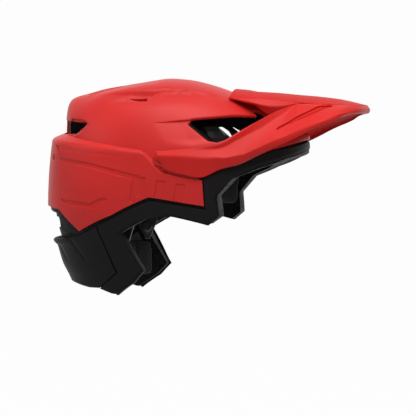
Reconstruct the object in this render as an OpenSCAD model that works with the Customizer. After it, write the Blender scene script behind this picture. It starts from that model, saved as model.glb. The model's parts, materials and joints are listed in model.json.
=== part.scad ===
// Open-face trail helmet with low sides, ear openings, a one-piece visor and a drop at the nape.
// The origin is the middle of the head opening at ear-to-ear height of the crown's base.
// +X points to the face, +Y to the wearer's left and +Z up. All sizes are millimetres.

/* [Skins and clearances] */
// Thickness of the moulded outer skins
skin_t = 2.4; // [1.6:0.2:3.2]
// Gap between a skin and the foam behind it
foam_gap = 0.4; // [0.3:0.05:0.6]
// Open seam between two neighbouring skins
seam_gap = 0.6; // [0.3:0.1:1.2]
// Width of the rolled lip along the lower edge of the trim
lip_w = 5; // [3:0.5:9]
// Height at which the upper and the lower foam meet
foam_split_z = -6; // [-9:0.5:-5.5]
// Place where the front and the rear upper foam meet
foam_split_x = -56; // [-59:0.5:-50]

/* [Body sections: height, rear, front and half width] */
// Section at the foot of the drop
sec_foot = [-150, -112, 100, 80]; // [-160:1:110]
// Section through the lower drop
sec_drop = [-128, -121, 108, 87]; // [-140:1:118]
// Section below the ear opening's middle
sec_nape = [-112, -129, 116, 92]; // [-136:1:124]
// Section at the top of the nape cover
sec_ear = [-95, -134, 124, 98]; // [-140:1:130]
// Section at the jaw points
sec_jaw = [-75, -140, 132, 104]; // [-146:1:138]
// Section at the lower edge of the rear band
sec_band = [-50, -145, 138, 109]; // [-150:1:144]
// Widest section
sec_wide = [-20, -144, 142, 111.5]; // [-150:0.5:148]
// Section at the brow
sec_brow = [5, -142, 143, 111]; // [-148:0.5:148]
// Section at the top of the rear band
sec_top = [30, -139, 142, 107]; // [-145:0.5:148]
// Squareness of the body sections
body_n = 2.35; // [2.1:0.05:2.6]

/* [Crown] */
// Place of the crown's widest section
crown_x = 5; // [0:1:10]
// Length from there to the rear
crown_rear = 131; // [127:1:133]
// Length from there to the front
crown_front = 139; // [136:1:140]
// How far the crown's side stands in from the body's widest section
crown_inset = 5.5; // [4.5:0.25:8]
// Squareness of the crown in plan
crown_n = 2.3; // [2.1:0.05:2.5]
// Fullness of the crown's shoulders
crown_p = 2.35; // [2.1:0.05:2.6]

/* [Head space: height, rear, front and half width] */
// Section at the foot
head_foot = [-150, -92, 82, 65]; // [-155:1:90]
// Section at the neck
head_neck = [-105, -99, 90, 71]; // [-110:1:98]
// Section at the ears
head_ear = [-60, -105, 97, 78]; // [-112:1:104]
// Section at the base of the dome
head_base = [0, -107, 104, 84]; // [-112:1:110]
// Height of the dome above that section
head_top = 56; // [50:1:58]
// Squareness of the head space
head_n = 2.2; // [2:0.05:2.4]

/* [Vents] */
// Corner radius of the vents
vent_r = 3; // [2:0.5:4]
// Half of the space left between left and right side vents
vent_spine = 38; // [32:1:44]
// Half width of the bridge between the two rear vents
rear_bridge = 9; // [6:1:14]
// Width of a front vent
front_vent_w = 15; // [10:1:18]
// Width of a scoop's slot
slot_w = 8; // [5:0.5:10]

/* [Visor] */
// Thickness of the visor
visor_t = 3; // [2.4:0.2:3.6]
// Gap between the body and the visor's arms
arm_gap = 3; // [2.6:0.1:4]
// Place of the tilt axis along the helmet
pivot_x = 20; // [16:0.5:24]
// Height of the tilt axis
pivot_z = 3; // [2.5:0.25:5]
// Radius of the pivot pin
pin_r = 4; // [3:0.25:4.5]
// Running clearance of the pin in its bush
pin_clear = 0.05; // [0.03:0.01:0.09]
// Radius of the pin's flange
flange_r = 8; // [7:0.5:9]
// Thickness of the friction washer
washer_t = 0.8; // [0.6:0.1:1]
// Wall of the bush
bush_wall = 2; // [1.6:0.2:2.4]
// Depth of the bush inside the crown
bush_depth = 11; // [8:1:13]

/* [Slip liner and pads] */
// Sliding gap between foam and liner
slip_gap = 2.2; // [1.9:0.1:2.6]
// Thickness of the liner
liner_t = 1; // [0.8:0.1:1.3]
// Thickness of the comfort pads
pad_t = 7; // [5:0.5:8]
// Gap between a pad and what carries it
pad_gap = 0.7; // [0.6:0.05:0.9]
// Radius of an anchor's stem
anchor_r = 2.5; // [2:0.25:3]
// Radius of an anchor's head
anchor_head_r = 4.5; // [4:0.25:5]
// Free travel of an anchor in its slot, each way
anchor_travel = 6.5; // [6:0.25:7.5]

/* [Straps and buckle] */
// Width of the webbing
web_w = 15; // [12:0.5:16]
// Thickness of the webbing
web_t = 1.2; // [0.9:0.1:1.5]
// Gap between the webbing and the foam
web_gap = 0.6; // [0.5:0.05:0.8]
// Length of the closed buckle
buckle_l = 40; // [38:1:46]
// Width of the buckle
buckle_w = 22; // [20:1:24]
// Thickness of the buckle
buckle_t = 8; // [7:0.5:9]
// Travel of the slider when it opens
slide_travel = 8; // [6:0.5:9]
// Radius of a buckle magnet
magnet_r = 4; // [3:0.25:4.5]

/* [Hidden] */
$fn = 48;
eps = 0.01;
fit_gap = 0.3;
far = 400;
hole_fn = 16;
RED = [0.84, 0.18, 0.16];
BLACK = [0.12, 0.12, 0.12];
FOAM = [0.2, 0.19, 0.19];
CLOTH = [0.08, 0.08, 0.09];
crown_w = sec_wide[3] - crown_inset;
BODY = [sec_foot, sec_drop, sec_nape, sec_ear, sec_jaw, sec_band, sec_wide, sec_brow, sec_top];
HEAD = [head_foot, head_neck, head_ear, head_base];
// The crown's ridge from rear to front: place and height
CREST = [
    [-126, 20], [-125.5, 40], [-123, 62], [-118, 68], [-100, 74], [-75, 82], [-45, 87], [-10, 89.5],
    [11, 88], [30, 84], [56, 75.5], [80, 64.5], [105, 51], [125, 39], [143, 27], [144, 20]
];

// Small helpers
function flat(list) = [for (row = list) for (item = row) item];
function turned(list) = [for (i = [len(list) - 1:-1:0]) list[i]];
function mix(a, b, t) = a + (b - a) * t;
function signed_pow(v, p) = sign(v) * pow(abs(v), p);
function unit(v) = v / max(norm(v), eps);

// Smooth curve through a table's rows, in its column k, with no overshoot
function span_of(tab, t, i = 0) = (i >= len(tab) - 2 || t < tab[i + 1][0]) ? i : span_of(tab, t, i + 1);
function rise(tab, i, k) = (tab[i + 1][k] - tab[i][k]) / (tab[i + 1][0] - tab[i][0]);
function slope(tab, i, k) =
    i <= 0 ? rise(tab, 0, k) :
    i >= len(tab) - 1 ? rise(tab, len(tab) - 2, k) :
    let (a = rise(tab, i - 1, k), b = rise(tab, i, k)) a * b <= 0 ? 0 : 2 * a * b / (a + b);
function smooth(tab, t, k) =
    let (
        at = min(max(t, tab[0][0]), tab[len(tab) - 1][0]),
        i = span_of(tab, at),
        h = tab[i + 1][0] - tab[i][0],
        s = (at - tab[i][0]) / h
    )
    tab[i][k] * (1 + 2 * s) * pow(1 - s, 2) + slope(tab, i, k) * h * s * pow(1 - s, 2)
    + tab[i + 1][k] * s * s * (3 - 2 * s) + slope(tab, i + 1, k) * h * s * s * (s - 1);

// Point on a squared ring: u runs from the front (0) over the left (90) to the rear (180)
function ring_point(tab, n, u, z, inset) =
    let (
        back = smooth(tab, z, 1),
        front = smooth(tab, z, 2),
        long = (front - back) / 2 - inset,
        wide = smooth(tab, z, 3) - inset
    )
    [(back + front) / 2 + long * signed_pow(cos(u), 2 / n), wide * signed_pow(sin(u), 2 / n), z];
function ring_angle(tab, n, x, z) =
    let (back = smooth(tab, z, 1), front = smooth(tab, z, 2))
    acos(signed_pow(min(max((x - (back + front) / 2) * 2 / (front - back), -1), 1), n / 2));

function body_point(u, z, inset) = ring_point(BODY, body_n, u, z, inset);
function body_angle(x, z) = ring_angle(BODY, body_n, x, z);
function body_side(x, z, inset = 0) = body_point(body_angle(x, z), z, inset)[1];

// The crown: v runs from the top (0) to the rim (90), and one millimetre of wall a degree below it
function crown_half(x) =
    let (reach = x < crown_x ? crown_rear : crown_front)
    crown_w * pow(max(0, 1 - pow(abs(x - crown_x) / reach, crown_n)), 1 / crown_n);
function crown_point(u, v, inset) =
    let (
        reach = cos(u) < 0 ? crown_rear : crown_front,
        ax = signed_pow(cos(u), 2 / crown_n) * sin(min(v, 90)),
        ay = signed_pow(sin(u), 2 / crown_n) * sin(min(v, 90)),
        full = crown_x + reach * ax,
        part = min(1, abs(crown_w * ay) / max(crown_half(full), eps)),
        height = (smooth(CREST, full, 1) - inset) * sqrt(max(0, 1 - pow(part, crown_p)))
    )
    [crown_x + (reach - inset) * ax, (crown_w - inset) * ay, v >= 90 ? 90 - v : height];
// Point of the crown's rim in the direction of a plan point, moved outwards
function crown_rim(p, out) =
    let (
        dir = unit([p[0] - crown_x, p[1]]),
        reach = dir[0] < 0 ? crown_rear : crown_front,
        r = pow(pow(abs(dir[0]) / reach, crown_n) + pow(abs(dir[1]) / crown_w, crown_n), -1 / crown_n)
    )
    [crown_x + (r + out) * dir[0], (r + out) * dir[1], p[2]];

// The head space: v runs as on the crown
function head_point(u, v, inset) =
    let (rim = ring_point(HEAD, head_n, u, min(0, 90 - v), inset), mid = (head_base[1] + head_base[2]) / 2)
    v > 90 ? rim :
    [mid + (rim[0] - mid) * sin(v), rim[1] * sin(v), (head_top - inset) * cos(v)];
function head_angle(x, z) = ring_angle(HEAD, head_n, x, z);

// Closed solid through sections of equal length. An end is a fan from its first point or,
// for a section that is a long strip, a zigzag between its two sides.
function end_faces(m, strip) = !strip
    ? [for (j = [1:m - 2]) [0, j + 1, j]]
    : flat([for (j = [0:floor(m / 2) - 2]) [[j, j + 1, m - 2 - j], [j, m - 2 - j, m - 1 - j]]]);
module loft(sections, strip = false) {
    m = len(sections[0]);
    last = (len(sections) - 1) * m;
    ends = end_faces(m, strip);
    polyhedron(
        points = flat(sections),
        faces = concat(
            flat([for (i = [0:len(sections) - 2]) flat([for (j = [0:m - 1])
                let (a = i * m + j, b = i * m + (j + 1) % m) [[a, b, b + m], [a, b + m, a + m]]])]),
            [for (t = ends) strip ? turned(t) : t],
            [for (t = ends) strip ? [for (k = t) last + k] : turned([for (k = t) last + k])]
        )
    );
}

// Solid between an outer and an inner grid of points
module slab(outer, inner) {
    loft([for (i = [0:len(outer) - 1]) concat(outer[i], turned(inner[i]))], true);
}

// Rings of a dome from its top to its rim and on to the foot of its wall
DOME_STEPS = [3, 15, 27, 39, 50, 60, 69, 77, 83, 87.5, 90];
module crown_solid(inset, foot, facets = 36) {
    loft([for (v = concat(DOME_STEPS, [90 + foot]))
        [for (i = [0:facets - 1]) crown_point(360 * i / facets, v, inset)]]);
}
module head_solid(inset, foot, facets = 44) {
    loft([for (v = concat([for (v = [4:14:88]) v], [for (k = [0:5]) 90 + foot * k / 5]))
        [for (i = [0:facets - 1]) head_point(360 * i / facets, v, inset)]]);
}
BODY_STEPS = [-150, -138, -128, -112, -95, -75, -50, -20, 5, 30];
module body_solid(inset, facets = 48) {
    loft([for (z = turned(BODY_STEPS)) [for (i = [0:facets - 1]) body_point(360 * i / facets, z, inset)]]);
}

// Prism across the helmet over a side outline
module across(outline, from = -far, to = far) {
    translate([0, to, 0]) rotate([90, 0, 0]) linear_extrude(height = to - from) polygon(outline);
}
module both_sides() {
    children();
    mirror([0, 1, 0]) children();
}

// Moves a side line square to itself, to its left when d is above 0
function moved_line(line, d) = [for (i = [0:len(line) - 1])
    let (
        before = unit(i == 0 ? line[1] - line[0] : line[i] - line[i - 1]),
        after = unit(i == len(line) - 1 ? line[i] - line[i - 1] : line[i + 1] - line[i]),
        square = unit([-(before + after)[1], (before + after)[0]]),
        stretch = max(0.4, square * [-after[1], after[0]])
    )
    line[i] + square * d / stretch];
// Turns side points into ring angles and heights
function on_body(line) = [for (p = line) [body_angle(p[0], p[1]), p[1]]];
// Puts steps[i] equal steps between the points of a line
function stepped(line, steps) = concat(
    flat([for (i = [0:len(line) - 2]) [for (k = [0:steps[i] - 1]) mix(line[i], line[i + 1], k / steps[i])]]),
    [line[len(line) - 1]]);
// A one-sided list of ring points, carried on over the mid-plane at ring angle turn
function round_ends(line, turn) = concat(
    line, [for (i = [len(line) - 2:-1:0]) [2 * turn - line[i][0], line[i][1]]]);

// Band: upper and lower lines with matching points
BAND_STEPS = [3, 3, 3, 3, 4, 5];
// The band's upper lip climbs towards the crown by this share of its width, up to a reach
lip_rise = 0.45;
lip_reach = 12;
function band_line(upper) = upper
    ? [[42, -19.5], [3, -10.5], [-21, 9], [-60, 13.5], [-97, 18], [-126, 22], [-150, 25]]
    : moved_line([[43.5, -51.4], [14, -46.7], [-15, -42], [-56, -61], [-97, -80], [-123, -56], [-150, -50]],
        -seam_gap / 2);
function band_section(top, foot) =
    let (
        rows = 5,
        outer = [for (k = [0:rows]) let (p = mix(foot, top, k / rows)) body_point(p[0], p[1], 0)],
        inner = [for (k = [0:rows])
            let (p = mix(foot, [top[0], top[1] - skin_t], k / rows)) body_point(p[0], p[1], skin_t)],
        edge = outer[rows],
        rim = crown_rim(edge, seam_gap / 2),
        rise = lip_rise * min(norm(edge - rim), lip_reach),
        lip = top[1] > 0 ? rim + [0, 0, rise] : body_point(top[0], top[1], skin_t)
    )
    concat(outer, [lip, lip - [0, 0, skin_t]], turned(inner));
function band_rail(upper) =
    round_ends(stepped(on_body(band_line(upper)), BAND_STEPS), 180);
module rear_band() {
    tops = band_rail(true);
    feet = band_rail(false);
    color(RED) loft([for (i = [0:len(tops) - 1]) band_section(tops[i], feet[i])], true);
}

// Trim: upper and lower points of matching stations from the brow to the foot of the drop
TRIM_UPPER = [
    [150, 21.5], [114, 11.3], [90.5, 3.5], [68, -5], [42, -18], [44, -51.5], [14, -46.7], [-15, -42],
    [-56, -61], [-74, -69.4], [-74, -74], [-64.5, -97], [-54.5, -120.5], [-66, -129.5], [-76.5, -138]
];
TRIM_LOWER = [
    [150, 11], [128, 3], [100, -8], [72.5, -19], [55, -38], [57.5, -60], [47.5, -68.5], [8, -59],
    [-11, -60.8], [-19, -61.5], [-48.5, -77.5], [-38, -95], [-24.5, -118], [-36, -130.5], [-57, -145]
];
TRIM_STEPS = [4, 2, 2, 2, 2, 3, 3, 3, 2, 1, 2, 2, 1, 1];
function trim_section(top, foot, grow, rows) =
    let (
        reach = max(norm([(top[0] - foot[0]) * 1.8, top[1] - foot[1]]), 4),
        in = (skin_t + grow) / reach,
        over = grow / reach,
        at = function(t, inset) let (p = mix(top, foot, t)) body_point(p[0], p[1], inset)
    )
    concat(
        [at(1 + over, -grow), at(1 + over, lip_w + grow), at(1 - in, lip_w + grow)],
        [for (k = [rows:-1:0]) at(mix(-over, 1 - in, k / rows), skin_t + grow)],
        [for (k = [0:rows - 1]) at(mix(-over, 1 + over, k / rows), -grow)]
    );
module trim_skin(grow = 0, rows = 4) {
    tops = round_ends(turned(stepped(on_body(moved_line(TRIM_UPPER, seam_gap / 2)), TRIM_STEPS)), 0);
    feet = round_ends(turned(stepped(on_body(TRIM_LOWER), TRIM_STEPS)), 0);
    loft([for (i = [0:len(tops) - 1]) trim_section(tops[i], feet[i], grow, rows)]);
}
module lower_trim() {
    color(BLACK) trim_skin();
}

// Nape cover: from the seam with the trim on one side round the rear to the other
NAPE_UPPER = [[-75.5, -71.5], [-86, -76], [-97, -81], [-112, -84.5], [-126, -85], [-150, -85]];
NAPE_LOWER = [[-55.5, -120.5], [-66, -129], [-77, -138], [-90, -138], [-108, -134.5], [-150, -131]];
NAPE_STEPS = [1, 2, 2, 2, 4];
nape_lip = 2.5;
function nape_section(top, foot) =
    let (
        rows = 5,
        at = function(t, inset) let (p = mix(top, foot, t)) body_point(p[0], p[1], inset)
    )
    concat(
        [at(0, -nape_lip), at(0, skin_t)],
        [for (k = [1:rows]) at(k / rows, skin_t)],
        [for (k = [rows:-1:1]) at(k / rows, 0)],
        [at(0.08, 0)]
    );
module nape_cover() {
    tops = round_ends(stepped(on_body(NAPE_UPPER), NAPE_STEPS), 180);
    feet = round_ends(stepped(on_body(NAPE_LOWER), NAPE_STEPS), 180);
    color(BLACK) loft([for (i = [0:len(tops) - 1]) nape_section(tops[i], feet[i])]);
}

// Vent cutters for the left side; each is a rounded wedge
module rounded(points, r) {
    hull() for (p = points) translate(p) sphere(r, $fn = 6);
}
module side_vent(grow = 0) {
    hull() for (p = [[31, 41], [72, 45.5], [93, 44.5], [60, 25.5], [50, 25]])
        translate([p[0], 0, p[1]]) rotate([-90, 0, 0]) translate([0, 0, vent_spine])
            cylinder(r = vent_r + grow, h = far, $fn = 8);
}
module rear_vent(grow = 0) {
    hull() for (p = [[-93, 39.5], [-107, 32], [-140, 31.5], [-140, 42]])
        translate([p[0], 0, p[1]]) rotate([-90, 0, 0]) translate([0, 0, rear_bridge])
            cylinder(r = 1.5 + grow, h = far, $fn = 6);
}
module front_vent(y, grow = 0) {
    hull() for (s = [-8, 8])
        translate([70, y, 14]) rotate([0, 45, 0]) translate([s, 0, 0])
            cylinder(d = front_vent_w + 2 * grow, h = far, $fn = 10);
}
module top_vent(grow = 0) {
    hull() for (x = [-92, -66])
        translate([x, 22, 14]) cylinder(d = 11 + 2 * grow, h = far, $fn = 10);
}
// The scoop beside the ridge and the slot at its deep end
module scoop() {
    hull() {
        rounded([[-68, 62.5, 67.5], [-23, 57, 81], [-24, 79.5, 67]], 1);
        rounded([[-29, 61, 65.5], [-27, 72, 64.5]], 1);
    }
    rounded([[-22, 57.5, 79], [-22, 63, 76], [10, 57, 78.5], [44, 51, 73]], 1);
}
module scoop_slot(grow = 0) {
    hull() for (x = [-41, -31])
        translate([x, 70, 66]) rotate([-28, 0, 0])
            cylinder(d = slot_w + 2 * grow, h = 90, center = true, $fn = 10);
}
// Duct from a rear vent into the head space
module rear_duct() {
    hull() for (y = [19, 30])
        translate([-130, y, 36.5]) rotate([0, 90, 0]) cylinder(d = 8, h = 75, $fn = 10);
}
module vents(grow = 0) {
    both_sides() {
        side_vent(grow);
        rear_vent(grow);
        rear_duct();
        front_vent(20, grow);
        front_vent(44, grow);
        top_vent(grow);
        scoop_slot(grow);
    }
}

// Lower edge of the crown in side view, then the part of the wall behind the band
CROWN_FOOT = [[160, 28], [143.5, 22], [114, 11.5], [90.5, 3.5], [68, -5], [30, -5], [-60, 6], [-160, 14]];
module below_crown() {
    line = moved_line(CROWN_FOOT, -seam_gap / 2);
    across(concat(line, [[-160, -90], [160, -90]]));
}
module crown_shell() {
    color(RED) difference() {
        crown_solid(0, 12);
        translate([0, 0, -eps]) crown_solid(skin_t, 14);
        below_crown();
        vents();
        both_sides() scoop();
        pivot_hole();
    }
}
// The upper foam between two places along the helmet
joint_gap = 0.2;
module upper_foam(from, to) {
    color(FOAM) difference() {
        intersection() {
            crown_solid(skin_t + foam_gap, 12);
            translate([from, -far / 2, foam_split_z]) cube([to - from, far, far]);
            across(FOAM_SIDE);
        }
        head_solid(0, 40);
        trim_skin(foam_gap, 1);
        vents(0.8);
        both_sides() translate([0, -1.5, -skin_t - 1.5]) scoop();
        pivot_hole();
        anchor_holes();
    }
}
module foam_upper() {
    upper_foam(foam_split_x + joint_gap / 2, far);
}
module foam_rear() {
    upper_foam(-far, foam_split_x - joint_gap / 2);
}

CHANNEL_ANGLES = [112, 146, 166];
channel_r = 5;
// Side outline of the lower foam, just inside the skins that wrap it
FOAM_SIDE = [
    [160, 100], [160, 13], [143, 11], [128, 4.5], [100, -6.5], [73.5, -17.5], [56.5, -37], [58.5, -59],
    [47.5, -67], [8, -57.5], [-19, -60], [-49.5, -76.5], [-39.5, -95], [-26, -117.5], [-37, -129.5], [-57, -143],
    [-77, -136.5], [-108, -132.5], [-160, -129.5], [-160, 100]
];
// The foam steps in where it shows between the rear band and the nape cover
rear_step = 4.5;
REAR_WINDOW = [[-100, -80.5], [-124, -57.5], [-160, -51.5], [-160, -84], [-126, -84], [-112, -83.5]];
module rear_recess() {
    difference() {
        across(REAR_WINDOW);
        body_solid(skin_t + foam_gap + rear_step, 32);
    }
}
module foam_lower() {
    color(FOAM) difference() {
        intersection() {
            body_solid(skin_t + foam_gap, 32);
            across(FOAM_SIDE);
            translate([-far / 2, -far / 2, foam_split_z - far]) cube(far);
        }
        head_solid(0, 160);
        trim_skin(foam_gap, 1);
        rear_recess();
        // Ducts let the air out between the band and the nape cover
        both_sides() hull() for (y = [14, 40])
            translate([-150, y, -68]) rotate([0, 90, 0]) cylinder(d = 12, h = 60, $fn = 10);
        // Air channels run down the inner wall
        both_sides() for (u = CHANNEL_ANGLES) hull() for (v = [84, 134])
            translate(head_point(u, v, 0)) sphere(channel_r, $fn = 8);
        // Pockets for the upper ends of the four straps
        both_sides() for (p = ANCHOR_SPOTS) strap_pocket(p);
        // A shallow recess for the buckle and its webbing
        buckle_recess();
    }
}

// Visor rails on the left: the edge line under the crown side of the arm, then the lower edge
WING_UPPER = [
    [-7.5, 116.5, 10.5], [14, 116.2, 12], [38, 113.7, 14.6], [59, 110, 18], [80, 101.5, 30.2], [102, 88.5, 44.8],
    [121, 73.5, 55.3], [138, 61.5, 61], [156, 60.5, 61], [174, 59, 60], [190, 55.5, 60], [206, 47, 58.5]
];
WING_LOWER = [
    [1.5, 117, -9], [20, 117, -13.8], [40, 115.7, -17.2], [62, 113.2, -8.2], [79, 111.5, -3.5], [98, 109.5, 5],
    [117, 107, 14], [136, 103.5, 23], [155, 99.5, 32], [172, 95, 40], [188, 86, 47.5], [206, 56, 55]
];
// The panel's middle line, then its edge on the left
PANEL_MID = [
    [63, 78], [91, 75.6], [112, 74], [133, 71.7], [156, 69.5], [174, 67.2], [190, 63.6], [202, 60.6],
    [208, 56.5]
];
PANEL_EDGE = [
    [62, 52, 68.6], [91, 57, 67], [112, 58.5, 65.2], [134, 60, 62.8], [156, 61.5, 61], [174, 60, 60],
    [190, 56.5, 59.8], [202, 50, 58.5], [207, 45, 56]
];
panel_bow = 1.5;
// The rails above are drawn for this gap between body and arm
drawn_gap = 3;
arm_bow = 2.2;
function wing_inner(i) =
    let (
        a = max(i - 1, 0),
        b = min(i + 1, len(WING_UPPER) - 1),
        along = (WING_UPPER[b] + WING_LOWER[b]) - (WING_UPPER[a] + WING_LOWER[a]),
        down = WING_LOWER[i] - WING_UPPER[i]
    )
    unit(cross(along, down)) * -visor_t;
function wing_row(i, shift) = [for (k = [0:4])
    mix(WING_UPPER[i], WING_LOWER[i], k / 4) + [0, arm_gap - drawn_gap, 0]
    + shift * wing_inner(i) - unit(wing_inner(i)) * arm_bow * sin(180 * k / 4)];
module wing() {
    rows = [0:len(WING_UPPER) - 1];
    slab([for (i = rows) wing_row(i, 0)], [for (i = rows) wing_row(i, 1)]);
}
function panel_row(i, drop) =
    let (m = PANEL_MID[i], e = PANEL_EDGE[i], over = arm_gap - drawn_gap)
    [for (k = [-6:6]) let (s = k / 6, bow = panel_bow * (1 - s * s) * abs(s))
        [mix(m[0], e[0], s * s), s * (e[1] + over), mix(m[1], e[2], s * s) + bow - drop]];
module panel() {
    rows = [0:len(PANEL_MID) - 1];
    slab([for (i = rows) panel_row(i, 0)], [for (i = rows) panel_row(i, visor_t)]);
}
// The long groove beside the second chevron
module chevron_groove() {
    hull() {
        translate([165.5, 69.8, 55.7]) sphere(1.9, $fn = 10);
        translate([119.5, 91.5, 35.4]) sphere(1.5, $fn = 10);
    }
}
// Stiffening rib under the panel between two of its stations
function panel_at(i, y) =
    let (m = PANEL_MID[i], e = PANEL_EDGE[i], s = y / e[1])
    [mix(m[0], e[0], s * s), y, mix(m[1], e[2], s * s) + panel_bow * (1 - s * s) * s];
module under_rib(y) {
    hull() for (i = [3, 6]) translate(panel_at(i, y) - [0, 0, visor_t]) sphere(1.8, $fn = 8);
}
module visor() {
    color(RED) difference() {
        union() {
            panel();
            both_sides() {
                wing();
                under_rib(18);
                under_rib(36);
                pivot_pad();
            }
        }
        both_sides() chevron_groove();
    }
}

// Tilt pivot on the left: everything is measured from the crown's wall outwards
wall_y = crown_half(pivot_x);
arm_in = body_side(pivot_x, pivot_z) + arm_gap - 0.8;
pad_r = flange_r + 1;
module on_pivot(y) {
    translate([pivot_x, y, pivot_z]) rotate([-90, 0, 0]) children();
}
module pivot_pad() {
    hull() {
        on_pivot(arm_in) cylinder(r = pad_r, h = 1, $fn = 24);
        on_pivot(arm_in + 2.2) cylinder(r = pad_r - 1, h = 0.6, $fn = 24);
    }
}
module pivot_hole() {
    both_sides() on_pivot(wall_y - bush_depth - 1)
        cylinder(r = pin_r + bush_wall + foam_gap, h = bush_depth + 6, $fn = hole_fn);
}
pin_flange = 1.8;
pin_end = wall_y - bush_depth + 2;
washer_in = arm_in - pin_flange - washer_t - 0.04;
module pivot_pins() {
    color("dimgray") both_sides() {
        on_pivot(arm_in - pin_flange - 0.02) cylinder(r = flange_r, h = pin_flange);
        on_pivot(pin_end) cylinder(r = pin_r - pin_clear, h = arm_in - pin_flange - pin_end);
    }
}
module friction_washers() {
    color("black") both_sides() on_pivot(washer_in) difference() {
        cylinder(r = flange_r, h = washer_t);
        translate([0, 0, -1]) cylinder(r = pin_r + 0.2, h = washer_t + 2);
    }
}
module pivot_bushes() {
    color(BLACK) both_sides() difference() {
        union() {
            on_pivot(wall_y + 0.1) cylinder(r = flange_r + 0.5, h = washer_in - wall_y - 0.12);
            on_pivot(wall_y - bush_depth) cylinder(r = pin_r + bush_wall, h = bush_depth + 1);
        }
        on_pivot(wall_y - bush_depth - 1) cylinder(r = pin_r, h = far);
    }
}

// Slip liner: a thin dome with windows, held by four anchors in slots
liner_in = slip_gap + liner_t;
ANCHOR_ANGLES = [42, 138];
anchor_v = 74;
// Places a thing on the head space's wall: X runs along the wall and Z points to the head
module seated(u, v, inset = 0) {
    here = head_point(u, v, inset);
    along = unit(head_point(u + 1, v, inset) - here);
    face = unit(cross(along, head_point(u, v + 1, inset) - here));
    down = cross(face, along);
    translate(here) multmatrix([for (k = [0:2]) [along[k], down[k], face[k], 0]]) children();
}
module liner_window(u0, u1, v0, v1) {
    hull() for (u = [u0, u1], v = [v0, v1])
        translate(head_point(u, v, 0)) sphere(4, $fn = 6);
}
module liner_dome(inset, rim) {
    loft([for (t = [0, 0.2, 0.38, 0.54, 0.67, 0.79, 0.9, 1])
        [for (i = [0:39]) head_point(9 * i, mix(4, rim, t), inset)]]);
}
module slip_liner() {
    color("gainsboro") difference() {
        liner_dome(slip_gap, 84);
        liner_dome(liner_in, 96);
        both_sides() {
            liner_window(14, 30, 42, 58);
            liner_window(44, 62, 46, 60);
            liner_window(78, 102, 44, 58);
            liner_window(118, 136, 46, 60);
            liner_window(150, 166, 44, 60);
            liner_window(45, 135, 12, 22);
            for (u = ANCHOR_ANGLES) seated(u, anchor_v) hull() for (s = [-1, 1])
                translate([s * anchor_travel, 0, -4]) cylinder(r = anchor_r + 1, h = 12, $fn = 10);
        }
    }
}
anchor_depth = 8;
head_play = 2.4;
module anchor_holes() {
    both_sides() for (u = ANCHOR_ANGLES)
        seated(u, anchor_v) translate([0, 0, -anchor_depth])
            cylinder(r = anchor_r + fit_gap - 0.1, h = 15, $fn = hole_fn);
}
module liner_anchors() {
    color("white") both_sides() for (u = ANCHOR_ANGLES) seated(u, anchor_v) {
        translate([0, 0, fit_gap - anchor_depth])
            cylinder(r = anchor_r, h = anchor_depth + liner_in + head_play);
        translate([0, 0, liner_in + head_play]) cylinder(r = anchor_head_r, h = 1.3);
    }
}

// Comfort pads are cushions on the head space, with a crown and drawn-in sides
PAD_RIM = [0, 0.55, 0.9, 1, 0.9, 0.55, 0];
pad_edge_t = 1.2;
function swell(s, power) = sqrt(max(0, 1 - pow(abs(2 * s - 1), power)));
module cushion(u0, u1, v0, v1, seat, cols = 8, thick = pad_t) {
    function at(s, k, rise) =
        let (v = mix((v0 + v1) / 2, mix(v0, v1, k / 6), mix(0.7, 1, swell(s, 6))))
        head_point(mix(u0, u1, s), v, seat + rise);
    function height(s, k) = mix(pad_edge_t, thick, swell(s, 4) * PAD_RIM[k]);
    slab(
        [for (i = [0:cols]) [for (k = [0:6]) at(i / cols, k, height(i / cols, k))]],
        [for (i = [0:cols]) [for (k = [0:6]) at(i / cols, k, 0)]]
    );
}
pad_seat = liner_in + pad_gap;
module brow_pad() {
    color(CLOTH) cushion(-32, 32, 64, 86, pad_seat, 12);
}
module rear_pad() {
    color(CLOTH) cushion(152, 208, 64, 86, pad_seat, 10);
}
module crown_pad() {
    color(CLOTH) {
        cushion(-34, 34, 20, 36, pad_seat, 6);
        cushion(146, 214, 20, 36, pad_seat, 6);
    }
}
module side_pad_left() {
    color(CLOTH) cushion(58, 122, 66, 85, pad_seat, 10);
}
module side_pad_right() {
    color(CLOTH) mirror([0, 1, 0]) cushion(58, 122, 66, 85, pad_seat, 10);
}
// The lower pads sit on the foam over the webbing. Side places of their ends, then upper and lower v
low_seat = web_gap + web_t + 0.5;
TEMPLE_PAD = [55, 24, 104, 140];
temple_z = -30;
EAR_PAD = [-44, -76, 182, 220];
ear_z = -110;
module wall_pad(spot, z, thick) {
    cushion(head_angle(spot[0], z), head_angle(spot[1], z), spot[2], spot[3], low_seat, 6, thick);
}
module temple_pad_left() {
    color(CLOTH) wall_pad(TEMPLE_PAD, temple_z, pad_t - 1);
}
module temple_pad_right() {
    color(CLOTH) mirror([0, 1, 0]) wall_pad(TEMPLE_PAD, temple_z, pad_t - 1);
}
module ear_pad_left() {
    color(CLOTH) wall_pad(EAR_PAD, ear_z, pad_t);
}
module ear_pad_right() {
    color(CLOTH) mirror([0, 1, 0]) wall_pad(EAR_PAD, ear_z, pad_t);
}
module nape_pad() {
    color(CLOTH) cushion(148, 212, 108, 148, low_seat, 8);
}

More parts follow.
